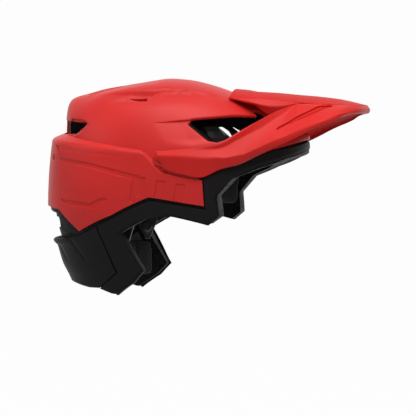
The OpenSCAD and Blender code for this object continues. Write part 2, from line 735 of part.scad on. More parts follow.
// Webbing lies on the inner wall along points given as side place and height
function on_head(line) = [for (p = line) [head_angle(p[0], p[1]), 90 - p[1]]];
function web_section(a, b, w, p, inset) =
    let (
        r = 90,
        dir = unit([(b[0] - a[0]) * PI * r / 180, b[1] - a[1]]),
        off = [-dir[1] * 180 / (PI * r), dir[0]] * w / 2
    )
    [
        head_point(p[0] - off[0], p[1] - off[1], inset),
        head_point(p[0] - off[0], p[1] - off[1], inset + web_t),
        head_point(p[0] + off[0], p[1] + off[1], inset + web_t),
        head_point(p[0] + off[0], p[1] + off[1], inset)
    ];
module webbing(line, steps) {
    path = stepped(on_head(line), steps);
    last = len(path) - 1;
    color(BLACK) loft([for (i = [0:last])
        web_section(path[max(i - 1, 0)], path[min(i + 1, last)], web_w, path[i], web_gap)]);
}
DIVIDER = [-50, -76];
FRONT_STRAP = [[40, -24], [8, -40], [-36, -58]];
REAR_STRAP = [[-98, -40], [-84, -62], [-70, -70]];
CHIN_STRAP = [[-56, -88], [-68, -96], [-78, -104]];
ANCHOR_SPOTS = [FRONT_STRAP[0], REAR_STRAP[0]];
module front_strap_left() {
    webbing(FRONT_STRAP, [3, 4]);
}
module front_strap_right() {
    mirror([0, 1, 0]) webbing(FRONT_STRAP, [3, 4]);
}
module rear_strap_left() {
    webbing(REAR_STRAP, [3, 3]);
}
module rear_strap_right() {
    mirror([0, 1, 0]) webbing(REAR_STRAP, [3, 3]);
}

// Places a flat thing on the left inner wall, given as side place and height
module on_wall(p, inset) {
    seated(head_angle(p[0], p[1]), 90 - p[1], inset) children();
}
module strap_pocket(p) {
    on_wall(p, -5) cylinder(r = 8.5, h = 7, $fn = hole_fn);
}
module strap_anchors() {
    color("black") both_sides() for (p = ANCHOR_SPOTS)
        on_wall(p, -4.7) cylinder(r = 8, h = 4.7);
}
module strap_dividers() {
    color("black") both_sides() on_wall(DIVIDER, 1.3) {
        hull() for (p = [[-9, -9], [9, -9], [0, 11]])
            translate([p[0], p[1], 0]) cylinder(r = 4, h = 2.4, $fn = 24);
        translate([0, 0, 2.4]) cylinder(r = 5.5, h = 1.6);
    }
}

// Buckle across the nape, closed, its slider to the left
buckle_z = -112;
buckle_x = head_point(180, 90 - buckle_z, 0)[0] + 0.6;
web_x = buckle_x + 2;
tongue_t = buckle_t / 2 - fit_gap;
base_end = 8;
recess_half = buckle_l / 2 + slide_travel + 15.5;
module buckle_recess() {
    translate([buckle_x - 1, -recess_half, buckle_z - buckle_w / 2 - 1])
        cube([24, 2 * recess_half, buckle_w + 2]);
}
module web_slot(from, to) {
    translate([web_x - fit_gap, from, buckle_z - web_w / 2 - fit_gap])
        cube([web_t + 2 * fit_gap, to - from, web_w + 2 * fit_gap]);
}
module magnet_at(y, depth, r = magnet_r) {
    translate([buckle_x + buckle_t / 2 - depth, y, buckle_z]) rotate([0, 90, 0]) cylinder(r = r, h = depth);
}
module buckle_base() {
    color(BLACK) difference() {
        translate([buckle_x, -buckle_l / 2, buckle_z - buckle_w / 2])
            cube([buckle_t, buckle_l / 2 + base_end, buckle_w]);
        translate([buckle_x + buckle_t / 2, -2, buckle_z - buckle_w / 2 + 2])
            cube([buckle_t, far, buckle_w - 4]);
        web_slot(-buckle_l / 2 - 1, -buckle_l / 2 + 9);
        magnet_at(2.8, 1.8 + eps, magnet_r + 0.02);
    }
}
module buckle_slider() {
    color(BLACK) difference() {
        union() {
            translate([buckle_x + buckle_t / 2 + fit_gap, -1.7, buckle_z - buckle_w / 2 + 2 + fit_gap])
                cube([tongue_t, 14, buckle_w - 4 - 2 * fit_gap]);
            translate([buckle_x, base_end + fit_gap, buckle_z - buckle_w / 2])
                cube([buckle_t, buckle_l / 2 - base_end - fit_gap, buckle_w]);
        }
        web_slot(base_end - 1, far);
    }
}
module buckle_magnets() {
    color("silver") magnet_at(2.8, 1.8);
}
module buckle_pull() {
    color("firebrick") translate([buckle_x + buckle_t + 0.02, base_end + 3, buckle_z - 6])
        cube([1.6, 10, 12]);
}
// The chin webbing leaves the wall and runs straight into the buckle
chin_bend = recess_half - 9;
function free_section(x, y, z, lean) =
    let (n = [cos(lean), -sin(lean), 0] * web_t, foot = [x, y, z - web_w / 2], up = [0, 0, web_w])
    [foot + up, foot + up + n, foot + n, foot];
module chin_webbing(end_y) {
    path = stepped(on_head(CHIN_STRAP), [3, 3]);
    last = len(path) - 1;
    color(BLACK) loft(concat(
        [for (i = [0:last])
            web_section(path[max(i - 1, 0)], path[min(i + 1, last)], web_w, path[i], web_gap)],
        [
            free_section(web_x + 15.5, chin_bend + 8.5, -110, 42),
            free_section(web_x + 3, chin_bend + 2, -111.5, 28),
            free_section(web_x + 0.4, chin_bend - 3, buckle_z, 8),
            free_section(web_x, chin_bend - 6, buckle_z, 0),
            free_section(web_x, end_y, buckle_z, 0)
        ]
    ));
}
module chin_strap_left() {
    chin_webbing(base_end + 8);
}
module chin_strap_right() {
    mirror([0, 1, 0]) chin_webbing(buckle_l / 2 - 8);
}

crown_shell();
rear_band();
lower_trim();
nape_cover();
foam_upper();
foam_rear();
foam_lower();
visor();
pivot_pins();
pivot_bushes();
friction_washers();
slip_liner();
liner_anchors();
brow_pad();
crown_pad();
side_pad_left();
side_pad_right();
rear_pad();
temple_pad_left();
temple_pad_right();
ear_pad_left();
ear_pad_right();
nape_pad();
front_strap_left();
front_strap_right();
rear_strap_left();
rear_strap_right();
chin_strap_left();
chin_strap_right();
strap_dividers();
strap_anchors();
buckle_base();
buckle_slider();
buckle_magnets();
buckle_pull();
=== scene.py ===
"""Looks of an open-face trail helmet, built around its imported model.

Skins are grids on the same forms as the model's, cut along outlines with rounded edges.
All shape numbers are millimetres; a finished mesh is in metres.
"""

from __future__ import annotations

import json
import logging
import math
from collections.abc import Callable, Iterator, Sequence
from contextlib import contextmanager
from dataclasses import dataclass
from enum import Enum

import bmesh
import bpy
import numpy as np
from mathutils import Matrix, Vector

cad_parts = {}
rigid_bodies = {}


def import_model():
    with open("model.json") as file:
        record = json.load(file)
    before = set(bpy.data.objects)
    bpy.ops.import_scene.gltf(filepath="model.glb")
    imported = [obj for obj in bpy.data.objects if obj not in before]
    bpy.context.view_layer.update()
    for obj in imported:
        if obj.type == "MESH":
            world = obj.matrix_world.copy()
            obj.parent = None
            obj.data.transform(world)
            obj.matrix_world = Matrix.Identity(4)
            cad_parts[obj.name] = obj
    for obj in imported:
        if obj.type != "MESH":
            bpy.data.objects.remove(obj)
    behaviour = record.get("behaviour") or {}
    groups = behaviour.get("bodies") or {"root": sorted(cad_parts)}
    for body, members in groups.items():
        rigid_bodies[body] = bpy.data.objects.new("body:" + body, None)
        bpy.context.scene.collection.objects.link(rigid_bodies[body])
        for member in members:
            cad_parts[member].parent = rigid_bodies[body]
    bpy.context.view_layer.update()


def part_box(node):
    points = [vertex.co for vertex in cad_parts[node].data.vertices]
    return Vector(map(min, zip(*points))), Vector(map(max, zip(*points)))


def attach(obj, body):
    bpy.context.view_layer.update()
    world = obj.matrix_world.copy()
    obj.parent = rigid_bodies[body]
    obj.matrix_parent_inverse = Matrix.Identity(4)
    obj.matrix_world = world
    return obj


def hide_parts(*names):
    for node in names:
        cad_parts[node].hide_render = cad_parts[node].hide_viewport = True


LOG = logging.getLogger("helmet")
MM = 0.001
# Millimetres: how near a level a point counts as on it, and what is added to a field to rule a place out
SNAP, AWAY = 0.15, 40.0
# Shares of an edge's rounding at which faces are split along it
EDGE_SHARES = (1.0, 0.5, 0.15, 0.0)
# Metres: points this near are merged in new and in copied meshes, and edges this short are dissolved
WELD, COPY_WELD, SLIVER = 0.00002, 0.00001, 0.000005
# Degrees: faces that bend less are merged, and edges that bend more are rounded
FLAT_ANGLE, EDGE_ANGLE = 0.3, 34
# How many points are compared with a grid at a time
CHUNK = 2000
TINY = 1e-9
WHITE = (1.0, 1.0, 1.0, 1.0)
Field = Callable[[np.ndarray], np.ndarray]
Points = Sequence[Sequence[float]]
Line = tuple[tuple[float, ...], ...]
Colour = Sequence[float]
Faces = list[list[int]]
Section = tuple[np.ndarray, np.ndarray, np.ndarray]
Inputs = dict[int | str, object]
Obj = bpy.types.Object


class Side(Enum):
    """Left or right of the helmet."""

    LEFT = "left"
    RIGHT = "right"

    def of(self, points: np.ndarray) -> np.ndarray:
        """Points of the left side, put on this side."""
        return points if self is Side.LEFT else points * [1, -1, 1]


class Table:
    """A smooth curve through the rows of a table, with no overshoot."""

    def __init__(self, rows: Points) -> None:
        """Keeps the rows, whose first column rises."""
        self.rows = np.array(rows, float)

    def __call__(self, t: np.ndarray, column: int = 1) -> np.ndarray:
        """Value of a column at t.

        Args:
            t: Places along the first column.
            column: The column to read.

        Returns:
            The column's values there.
        """
        x, y = self.rows[:, 0], self.rows[:, column]
        t = np.clip(np.asarray(t, float), x[0], x[-1])
        h = np.diff(x)
        s = np.diff(y) / h
        m = np.zeros_like(y)
        both = s[:-1] + s[1:]
        m[1:-1] = np.where(s[:-1] * s[1:] > 0, 2 * s[:-1] * s[1:] / np.where(both == 0, 1, both), 0)
        m[0], m[-1] = s[0], s[-1]
        i = np.clip(np.searchsorted(x, t, side="right") - 1, 0, len(h) - 1)
        u = (t - x[i]) / h[i]
        return (
            (2 * u**3 - 3 * u**2 + 1) * y[i]
            + (u**3 - 2 * u**2 + u) * h[i] * m[i]
            + (3 * u**2 - 2 * u**3) * y[i + 1]
            + (u**3 - u**2) * h[i] * m[i + 1]
        )


def power(value: np.ndarray, exponent: float) -> np.ndarray:
    """Signed power of a value."""
    return np.sign(value) * np.abs(value) ** exponent


def step(value: np.ndarray, width: float) -> np.ndarray:
    """Smooth step from 0 at 0 to 1 at width."""
    t = np.clip(value / width, 0, 1)
    return t * t * (3 - 2 * t)


def unit(v: np.ndarray) -> np.ndarray:
    """Vectors at length 1."""
    return v / np.maximum(np.linalg.norm(v, axis=-1, keepdims=True), TINY)


def moved_line(line: Points, d: float) -> list[list[float]]:
    """Moves a side line square to itself, to its left when d is above 0."""
    p = np.array(line, float)
    run = unit(np.diff(p, axis=0))
    before = np.vstack([run[:1], run])
    after = np.vstack([run, run[-1:]])
    both = unit(before + after)
    square = np.stack([-both[:, 1], both[:, 0]], 1)
    stretch = np.maximum(0.4, (square * np.stack([-after[:, 1], after[:, 0]], 1)).sum(1))
    return (p + square * (d / stretch)[:, None]).tolist()


@dataclass(frozen=True)
class Ring:
    """Squared rings stacked by height: the body's skins and the head space use one each."""

    rows: Line
    squareness: float

    def point(self, u: np.ndarray, z: np.ndarray, inset: float = 0.0) -> np.ndarray:
        """Points at ring angles u (degrees from the front over the left) and heights z."""
        table = Table(self.rows)
        u, z = np.radians(np.asarray(u, float)), np.asarray(z, float)
        back, front = table(z, 1), table(z, 2)
        long, wide = (front - back) / 2 - inset, table(z, 3) - inset
        e = 2 / self.squareness
        x = (back + front) / 2 + long * power(np.cos(u), e)
        return np.stack(np.broadcast_arrays(x, wide * power(np.sin(u), e), z), -1)

    def angle(self, x: np.ndarray, z: np.ndarray) -> np.ndarray:
        """Ring angle of a side place on the left."""
        table = Table(self.rows)
        back, front = table(z, 1), table(z, 2)
        t = np.clip((np.asarray(x, float) - (back + front) / 2) * 2 / (front - back), -1, 1)
        return np.degrees(np.arccos(power(t, self.squareness / 2)))


BODY = Ring(
    (
        (-150, -112, 100, 80), (-128, -121, 108, 87), (-112, -129, 116, 92), (-95, -134, 124, 98),
        (-75, -140, 132, 104), (-50, -145, 138, 109), (-20, -144, 142, 111.5), (5, -142, 143, 111),
        (30, -139, 142, 107),
    ),
    2.35,
)
HEAD = Ring(((-150, -92, 82, 65), (-105, -99, 90, 71), (-60, -105, 97, 78), (0, -107, 104, 84)), 2.2)


@dataclass(frozen=True)
class Dome:
    """The crown's form: a ridge curve over a squared plan."""

    middle: float = 5.0
    rear: float = 131.0
    front: float = 139.0
    half: float = 106.0
    plan: float = 2.3
    shoulder: float = 2.35
    crest: Line = (
        (-126, 20), (-125.5, 40), (-123, 62), (-118, 68), (-100, 74), (-75, 82), (-45, 87), (-10, 89.5),
        (11, 88), (30, 84), (56, 75.5), (80, 64.5), (105, 51), (125, 39), (143, 27), (144, 20),
    )

    def width(self, x: np.ndarray) -> np.ndarray:
        """Half width of the plan at a place along the helmet."""
        reach = np.where(x < self.middle, self.rear, self.front)
        share = np.clip(1 - np.abs((x - self.middle) / reach) ** self.plan, 0, 1)
        return self.half * share ** (1 / self.plan)

    def point(self, u: np.ndarray, v: np.ndarray) -> np.ndarray:
        """Points at ring angles u and at v from the top (0) to the rim (90), then down its wall."""
        a, b = np.radians(u), np.radians(np.minimum(v, 90))
        e = 2 / self.plan
        ax, ay = power(np.cos(a), e) * np.sin(b), power(np.sin(a), e) * np.sin(b)
        x = self.middle + np.where(np.cos(a) < 0, self.rear, self.front) * ax
        y = self.half * ay
        part = np.minimum(1, np.abs(y) / np.maximum(self.width(x), 1e-6))
        z = Table(self.crest)(x) * np.sqrt(np.maximum(0, 1 - part**self.shoulder))
        return np.stack([x, y, np.where(v >= 90, 90 - v, z)], -1)

    def rim(self, p: np.ndarray, out: float) -> np.ndarray:
        """Points of the rim in the direction of plan points, moved outwards."""
        d = unit(p[..., :2] - [self.middle, 0])
        reach = np.where(d[..., 0] < 0, self.rear, self.front)
        along, across = np.abs(d[..., 0] / reach), np.abs(d[..., 1] / self.half)
        r = (along**self.plan + across**self.plan) ** (-1 / self.plan)
        return np.stack([self.middle + (r + out) * d[..., 0], (r + out) * d[..., 1], p[..., 2]], -1)


CROWN = Dome()


def gap(q: np.ndarray, a: np.ndarray, b: np.ndarray) -> np.ndarray:
    """Distance of side places from the stretch between a and b."""
    ab = b - a
    t = np.clip(((q - a) @ ab) / max(ab @ ab, TINY), 0, 1)
    return np.linalg.norm(q - a - t[:, None] * ab, axis=1)


def line_distance(points: Points) -> Field:
    """Distance in side view to an open line."""
    line = np.array(points, float)
    return lambda p: np.min([gap(p[:, [0, 2]], a, b) for a, b in zip(line, line[1:])], 0)


def outline(points: Points, radius: float = 0.0) -> Field:
    """Signed distance to a side outline, above 0 outside it.

    Args:
        points: Side places and heights in order.
        radius: Rounding added to the outline.

    Returns:
        A function of points in space.
    """
    poly = np.array(points, float)
    rim = line_distance([*poly, poly[0]])

    def distance(p: np.ndarray) -> np.ndarray:
        x, z = p[:, 0], p[:, 2]
        inside = np.zeros(len(p), bool)
        for a, b in zip(poly, np.roll(poly, -1, 0)):
            if a[1] != b[1]:
                ahead = x < a[0] + (z - a[1]) * (b[0] - a[0]) / (b[1] - a[1])
                inside ^= ((a[1] > z) != (b[1] > z)) & ahead
        best = rim(p)
        return np.where(inside, -best, best) - radius

    return distance


def slotted(along: np.ndarray, across: np.ndarray, half: float, radius: float) -> np.ndarray:
    """Signed distance to a slot with round ends, from places along and across it."""
    return np.hypot(np.maximum(np.abs(along) - half, 0), across) - radius


def flat_floor(depth: float) -> Field:
    """The same depth everywhere."""
    return lambda p: np.full(len(p), depth)


def beyond(shape: Field, y: float) -> Field:
    """Limits an outline to what lies further than y from the mid-plane."""
    return lambda p: np.maximum(shape(p), y - np.abs(p[:, 1]))


@dataclass(frozen=True)
class Cut:
    """An opening or a recess of a skin.

    Attributes:
        distance: Above 0 where the skin stays as it is.
        depth: Depth of a recess at a point, or None for an opening.
        roll: Radius of the rounded edge.
    """

    distance: Field
    depth: Field | None = None
    roll: float = 1.0


def wound(points: np.ndarray) -> tuple[np.ndarray, bool]:
    """Unit normals of a grid of points, outwards from its middle, and whether they were turned."""
    across = np.gradient(points, axis=1)
    down = np.gradient(points, axis=0)
    n = np.cross(across, down)
    size = np.linalg.norm(n, axis=-1)
    thin = size < 1e-3 * np.median(size)
    n = unit(n)
    for row in (0, -1):
        if thin[row].all():
            n[row] = unit(n[1 if row == 0 else -2].mean(0))
    middle = points.reshape(-1, 3).mean(0) * [1, 0, 1]
    turned = float((n * (points - middle)).sum()) < 0
    return (-n if turned else n), turned


def grid_faces(rows: int, cols: int, closed: bool = False) -> np.ndarray:
    """Quads of a grid of points; closed joins its last column to the first."""
    i, j = np.meshgrid(np.arange(rows - 1), np.arange(cols if closed else cols - 1), indexing="ij")
    k = (j + 1) % cols
    corners = [i * cols + j, i * cols + k, (i + 1) * cols + k, (i + 1) * cols + j]
    return np.stack(corners, -1).reshape(-1, 4)


def tube_faces(rows: int, cols: int) -> Faces:
    """Faces of a tube of rings with a cap at each end."""
    ends = [list(range(cols))[::-1], list(range((rows - 1) * cols, rows * cols))]
    return [*grid_faces(rows, cols, True).tolist(), *ends]


class Skin:
    """A moulded skin made from a grid of points, with cuts, relief and a wall."""

    def __init__(self, grid: np.ndarray, lift: np.ndarray, wall: float, closed: bool = False) -> None:
        """Lays out the grid.

        Args:
            grid: Rows and columns of points.
            lift: Height along the normal at each grid point.
            wall: Thickness of the skin.
            closed: True if the last column meets the first.
        """
        if closed:
            normals, turned = wound(np.concatenate([grid[:, -2:], grid, grid[:, :2]], 1))
            normals = normals[:, 2:-2]
        else:
            normals, turned = wound(grid)
        self.p = grid.reshape(-1, 3)
        self.n = normals.reshape(-1, 3)
        self.lift = lift.reshape(-1).astype(float)
        self.wall = wall
        quads = grid_faces(*grid.shape[:2], closed)
        self.quads = quads[:, ::-1] if turned else quads
        self.polys: Faces = []

    def _split(self, values: np.ndarray, level: float) -> None:
        """Splits every face that a level of a field crosses."""
        s = values - level
        s[np.abs(s) < SNAP] = 0.0
        q = s[self.quads]
        cross = (q.min(1) < 0) & (q.max(1) > 0)
        todo = self.quads[cross].tolist()
        self.quads = self.quads[~cross]
        kept: Faces = []
        for poly in self.polys:
            v = s[poly]
            (todo if v.min() < 0 < v.max() else kept).append(poly)
        made: dict[tuple[int, int], int] = {}
        pairs: list[tuple[int, int, float]] = []
        count = len(self.p)
        for poly in todo:
            above: list[int] = []
            below: list[int] = []
            for a, b in zip(poly, poly[1:] + poly[:1]):
                sa, sb = s[a], s[b]
                if sa >= 0:
                    above.append(a)
                if sa <= 0:
                    below.append(a)
                if sa * sb < 0:
                    key = (min(a, b), max(a, b))
                    if key not in made:
                        made[key] = count + len(pairs)
                        pairs.append((key[0], key[1], s[key[0]] / (s[key[0]] - s[key[1]])))
                    above.append(made[key])
                    below.append(made[key])
            kept += [part for part in (above, below) if len(part) > 2]
        self.polys = kept
        if pairs:
            a, b, t = (np.array(c) for c in zip(*pairs))
            t = t[:, None]
            self.p = np.vstack([self.p, self.p[a] * (1 - t) + self.p[b] * t])
            self.n = np.vstack([self.n, unit(self.n[a] * (1 - t) + self.n[b] * t)])
            t = t[:, 0]
            self.lift = np.concatenate([self.lift, self.lift[a] * (1 - t) + self.lift[b] * t])

    def build(self, cuts: Sequence[Cut] = ()) -> tuple[np.ndarray, Faces]:
        """Cuts the skin and gives it its wall.

        Args:
            cuts: Openings and recesses; a later one wins where two meet.

        Returns:
            The points and faces of a closed solid.
        """
        for cut in cuts:
            for share in EDGE_SHARES:
                self._split(cut.distance(self.p), share * cut.roll)
        faces = self.quads.tolist() + self.polys
        middle = np.array([self.p[f].mean(0) for f in faces])
        label = np.zeros(len(faces), int)
        for k, cut in enumerate(cuts):
            label[cut.distance(middle) < 0] = k + 1
        through = {k + 1 for k, cut in enumerate(cuts) if cut.depth is None}
        heights = self._heights(cuts)
        count = len(self.p)
        ways: dict[tuple[int, int], int] = {}
        solid: Faces = []
        levels = len(cuts) + 1

        def top(v: int, k: int) -> int:
            return k * count + v

        def back(v: int, k: int) -> int:
            return (levels + k) * count + v

        for f, k in zip(faces, label):
            if k in through:
                continue
            solid.append([top(v, k) for v in f])
            solid.append([back(v, k) for v in reversed(f)])
            for a, b in zip(f, f[1:] + f[:1]):
                ways[(a, b)] = k
        for (a, b), k in ways.items():
            other = ways.get((b, a))
            if other is None:
                solid.append([top(b, k), top(a, k), back(a, k), back(b, k)])
            elif k < other:
                solid.append([top(b, k), top(a, k), top(a, other), top(b, other)])
                solid.append([back(a, k), back(b, k), back(b, other), back(a, other)])
        outer = np.concatenate([self.p + self.n * h[:, None] for h in heights])
        inner = np.concatenate([self.p + self.n * (h - self.wall)[:, None] for h in heights])
        points = np.concatenate([outer, inner])
        used, packed = np.unique(np.concatenate([np.array(f) for f in solid]), return_inverse=True)
        ends = np.cumsum([len(f) for f in solid])[:-1]
        return points[used], [part.tolist() for part in np.split(packed, ends)]

    def _heights(self, cuts: Sequence[Cut]) -> list[np.ndarray]:
        """Height over the grid of the skin and of each recess's floor."""
        drops = []
        for cut in cuts:
            r = np.full(len(self.p), cut.roll)
            if cut.depth is not None:
                r = np.minimum(r, 0.5 * np.maximum(cut.depth(self.p), 0))
            drops.append(edge_round(cut.distance(self.p), r))
        heights = [self.lift - sum(drops) if drops else self.lift]
        for k, cut in enumerate(cuts):
            others = [d for j, d in enumerate(drops) if j != k and cuts[j].depth is None]
            deep = 0 if cut.depth is None else np.maximum(cut.depth(self.p), 0)
            heights.append(self.lift - deep - (sum(others) if others else 0))
        return heights


@contextmanager
def editing(mesh: bpy.types.Mesh, source: bpy.types.Mesh) -> Iterator[bmesh.types.BMesh]:
    """Opens a source mesh for changes and writes the result into a mesh."""
    work = bmesh.new()
    work.from_mesh(source)
    yield work
    work.to_mesh(mesh)
    work.free()


def fresh_mesh(name: str, points: np.ndarray, faces: Sequence[Sequence[int]], sharp: float = 40.0) -> Obj:
    """Makes a linked object from millimetre points and faces.

    Args:
        name: Name of the object and its mesh.
        points: Places in millimetres.
        faces: Corner numbers of each face.
        sharp: Angle in degrees from which an edge stays sharp.

    Returns:
        The new object, at the origin.
    """
    mesh = bpy.data.meshes.new(name)
    mesh.from_pydata((np.asarray(points) * MM).tolist(), [], [list(f) for f in faces])
    with editing(mesh, mesh) as work:
        bmesh.ops.remove_doubles(work, verts=work.verts, dist=WELD)
        bmesh.ops.dissolve_degenerate(work, edges=work.edges, dist=SLIVER)
        bmesh.ops.recalc_face_normals(work, faces=work.faces)
    return linked(name, mesh, sharp)


def linked(name: str, mesh: bpy.types.Mesh, sharp: float) -> Obj:
    """Links an object for a mesh and shades it smooth up to an angle."""
    mesh.polygons.foreach_set("use_smooth", [True] * len(mesh.polygons))
    mesh.set_sharp_from_angle(angle=math.radians(sharp))
    obj = bpy.data.objects.new(name, mesh)
    bpy.context.scene.collection.objects.link(obj)
    return obj


def merged_copy(name: str, node: str, sharp: float) -> Obj:
    """Copies a solid of the frame and joins its loose triangles."""
    mesh = bpy.data.meshes.new(name)
    with editing(mesh, bpy.data.objects[node].data) as work:
        bmesh.ops.remove_doubles(work, verts=work.verts, dist=COPY_WELD)
        angle = math.radians(FLAT_ANGLE)
        bmesh.ops.dissolve_limit(work, angle_limit=angle, verts=work.verts, edges=work.edges)
    return linked(name, mesh, sharp)


def joined(name: str, parts: Sequence[Obj], sharp: float) -> Obj:
    """Joins several objects into one mesh and removes them.

    Args:
        name: Name of the result.
        parts: The objects to join; their modifiers are applied.
        sharp: Angle from which an edge stays sharp.

    Returns:
        The one object.
    """
    work = bmesh.new()
    graph = bpy.context.evaluated_depsgraph_get()
    for part in parts:
        mesh = bpy.data.meshes.new_from_object(part.evaluated_get(graph))
        work.from_mesh(mesh)
        bpy.data.meshes.remove(mesh)
        bpy.data.objects.remove(part)
    mesh = bpy.data.meshes.new(name)
    work.to_mesh(mesh)
    work.free()
    return linked(name, mesh, sharp)


def rounded_edge(obj: Obj, width: float, steps: int) -> Obj:
    """Rounds the sharp edges of an object by a width in millimetres."""
    bevel = obj.modifiers.new("edge", "BEVEL")
    bevel.width = width * MM
    bevel.segments = steps
    bevel.limit_method = "ANGLE"
    bevel.angle_limit = math.radians(EDGE_ANGLE)
    bevel.harden_normals = False
    return obj


class Value:
    """A shader socket that takes part in Python expressions."""

    def __init__(self, tree: Shade, socket: bpy.types.NodeSocket) -> None:
        """Keeps the socket and its tree."""
        self.tree = tree
        self.socket = socket

    def math(self, operation: str, *others: Value | float) -> Value:
        """Adds one Math node with this value first."""
        return self.tree.node("ShaderNodeMath", dict(enumerate((self, *others))), operation=operation)

    def __add__(self, other: Value | float) -> Value:
        """Sum."""
        return self.math("ADD", other)

    def __sub__(self, other: Value | float) -> Value:
        """Difference."""
        return self.math("SUBTRACT", other)

    def __mul__(self, other: Value | float) -> Value:
        """Product."""
        return self.math("MULTIPLY", other)

    def between(self, low: float, high: float) -> Value:
        """Share of the way from low to high, smooth and held at both ends."""
        ends = {0: self, 1: low, 2: high}
        return self.tree.node("ShaderNodeMapRange", ends, interpolation_type="SMOOTHSTEP")


class Shade:
    """A material's node tree."""

    def __init__(self, name: str) -> None:
        """Starts a material with one Principled shader."""
        self.material = bpy.data.materials.new(name)
        self.material.use_nodes = True
        self.tree = self.material.node_tree
        self.tree.nodes.clear()
        self.surface = self.tree.nodes.new("ShaderNodeBsdfPrincipled")
        self.end = self.tree.nodes.new("ShaderNodeOutputMaterial")
        self.tree.links.new(self.surface.outputs[0], self.end.inputs[0])

    def node(
        self, kind: str, inputs: Inputs | None = None, output: int | str = 0, **settings: object
    ) -> Value:
        """Adds a node.

        Args:
            kind: The node's type.
            inputs: Values or sockets for its inputs.
            output: The output to hand back.
            **settings: The node's settings, set first.

        Returns:
            That output.
        """
        node = self.tree.nodes.new(kind)
        for key, value in settings.items():
            setattr(node, key, value)
        for key, value in (inputs or {}).items():
            self.put(node.inputs[key], value)
        return Value(self, node.outputs[output])

    def put(self, socket: bpy.types.NodeSocket, value: object) -> None:
        """Links or sets one input."""
        if isinstance(value, Value):
            self.tree.links.new(value.socket, socket)
        else:
            socket.default_value = value

    def place(self) -> Value:
        """Object coordinates, in metres."""
        return self.node("ShaderNodeTexCoord", output="Object")

    def axes(self, place: Value) -> tuple[Value, ...]:
        """The three parts of a vector."""
        node = self.node("ShaderNodeSeparateXYZ", {0: place}).socket.node
        return tuple(Value(self, socket) for socket in node.outputs)

    def noise(self, scale: float, detail: float = 2, rough: float = 0.5, place: Value | None = None) -> Value:
        """Noise with a scale in cells for each metre."""
        inputs = {"Vector": place or self.place(), "Scale": scale, "Detail": detail, "Roughness": rough}
        return self.node("ShaderNodeTexNoise", inputs)

    def stretched(self, by: tuple[float, float, float]) -> Value:
        """Object coordinates stretched along each axis."""
        return self.node("ShaderNodeMapping", {"Vector": self.place(), "Scale": by})

    def colours(self, share: Value, first: Value | Colour, second: Value | Colour) -> Value:
        """Mixes two colours or colour sockets."""
        ends = [end if isinstance(end, Value) else (*end, 1.0) for end in (first, second)]
        return self.node("ShaderNodeMix", {0: share, 6: ends[0], 7: ends[1]}, 2, data_type="RGBA")

    def bump(self, height: Value, reach: float, strength: float = 1.0) -> Value:
        """Bump from a height that counts for reach metres."""
        return self.node("ShaderNodeBump", {"Height": height, "Distance": reach, "Strength": strength})

    def done(self, **sockets: object) -> bpy.types.Material:
        """Sets the shader's sockets, named with _ for a blank, and returns the material."""
        for key, value in sockets.items():
            self.put(self.surface.inputs[key.replace("_", " ")], value)
        return self.material


def linear(*rgb: float) -> tuple[float, ...]:
    """Linear colour of a screen colour from 0 to 255."""
    return tuple(v / 12.92 if v <= 0.04045 else ((v + 0.055) / 1.055) ** 2.4 for v in (c / 255 for c in rgb))


def toned(colour: Colour, share: float) -> tuple[float, ...]:
    """A colour made lighter or darker."""
    return tuple(min(1.0, c * share) for c in colour)


@dataclass(frozen=True)
class MouldedFinish:
    """Matt moulded plastic with a fine peel and faint handling marks.

    Attributes:
        name: The material's name.
        colour: Linear colour.
        roughness: Mean roughness.
        peel: Depth of the fine surface texture in metres.
        grain: Texture cells for each metre.
        wear: Share by which rubbed places turn lighter.
        gloss: Specular level of the shader.
    """

    name: str
    colour: Colour
    roughness: float = 0.42
    peel: float = 0.00004
    grain: float = 1500.0
    wear: float = 0.18
    gloss: float = 0.3

    def build(self) -> bpy.types.Material:
        """Builds the material."""
        shade = Shade(self.name)
        cloudy = shade.noise(9.0, 3.0, 0.55).between(0.3, 0.7)
        scuffs = shade.noise(60.0, 6.0, 0.7, shade.stretched((1.0, 1.0, 5.0))).between(0.6, 0.74)
        fine = shade.noise(self.grain, 2.0, 0.6)
        base = shade.colours(cloudy, toned(self.colour, 0.93), toned(self.colour, 1.05))
        base = shade.colours(scuffs * self.wear, base, toned(self.colour, 1.5))
        rough = cloudy * 0.05 + scuffs * 0.07 + fine * 0.04 + (self.roughness - 0.06)
        height = fine + shade.noise(self.grain * 0.22, 2.0) * 1.2
        return shade.done(
            Base_Color=base,
            Roughness=rough,
            Specular_IOR_Level=self.gloss,
            Normal=shade.bump(height, self.peel),
        )


@dataclass(frozen=True)
class FoamFinish:
    """Moulded bead foam: round beads with darker gaps and a few painted glints of light."""

    name: str
    colour: Colour
    beads: float = 330.0

    def build(self) -> bpy.types.Material:
        """Builds the material."""
        shade = Shade(self.name)
        bead = {"Vector": shade.place(), "Scale": self.beads, "Randomness": 0.85}
        gap = shade.node("ShaderNodeTexVoronoi", bead, feature="DISTANCE_TO_EDGE")
        tone = shade.axes(shade.node("ShaderNodeTexVoronoi", bead, "Color"))[0]
        seam = gap.between(0.0, 0.16)
        # Painted highlight: bright specks, mixed in below, stand for light glinting on the bead skins
        glint = shade.noise(900.0, 2.0, 0.6).between(0.6, 0.72)
        base = shade.colours(tone, toned(self.colour, 0.7), toned(self.colour, 1.4))
        base = shade.colours(seam, toned(self.colour, 0.4), base)
        base = shade.colours(glint * 0.5, base, toned(self.colour, 6.0))
        return shade.done(
            Base_Color=base,
            Roughness=tone * 0.2 + 0.5,
            Specular_IOR_Level=0.08,
            Normal=shade.bump(gap.between(0.0, 0.3), 0.0004, 0.7),
        )


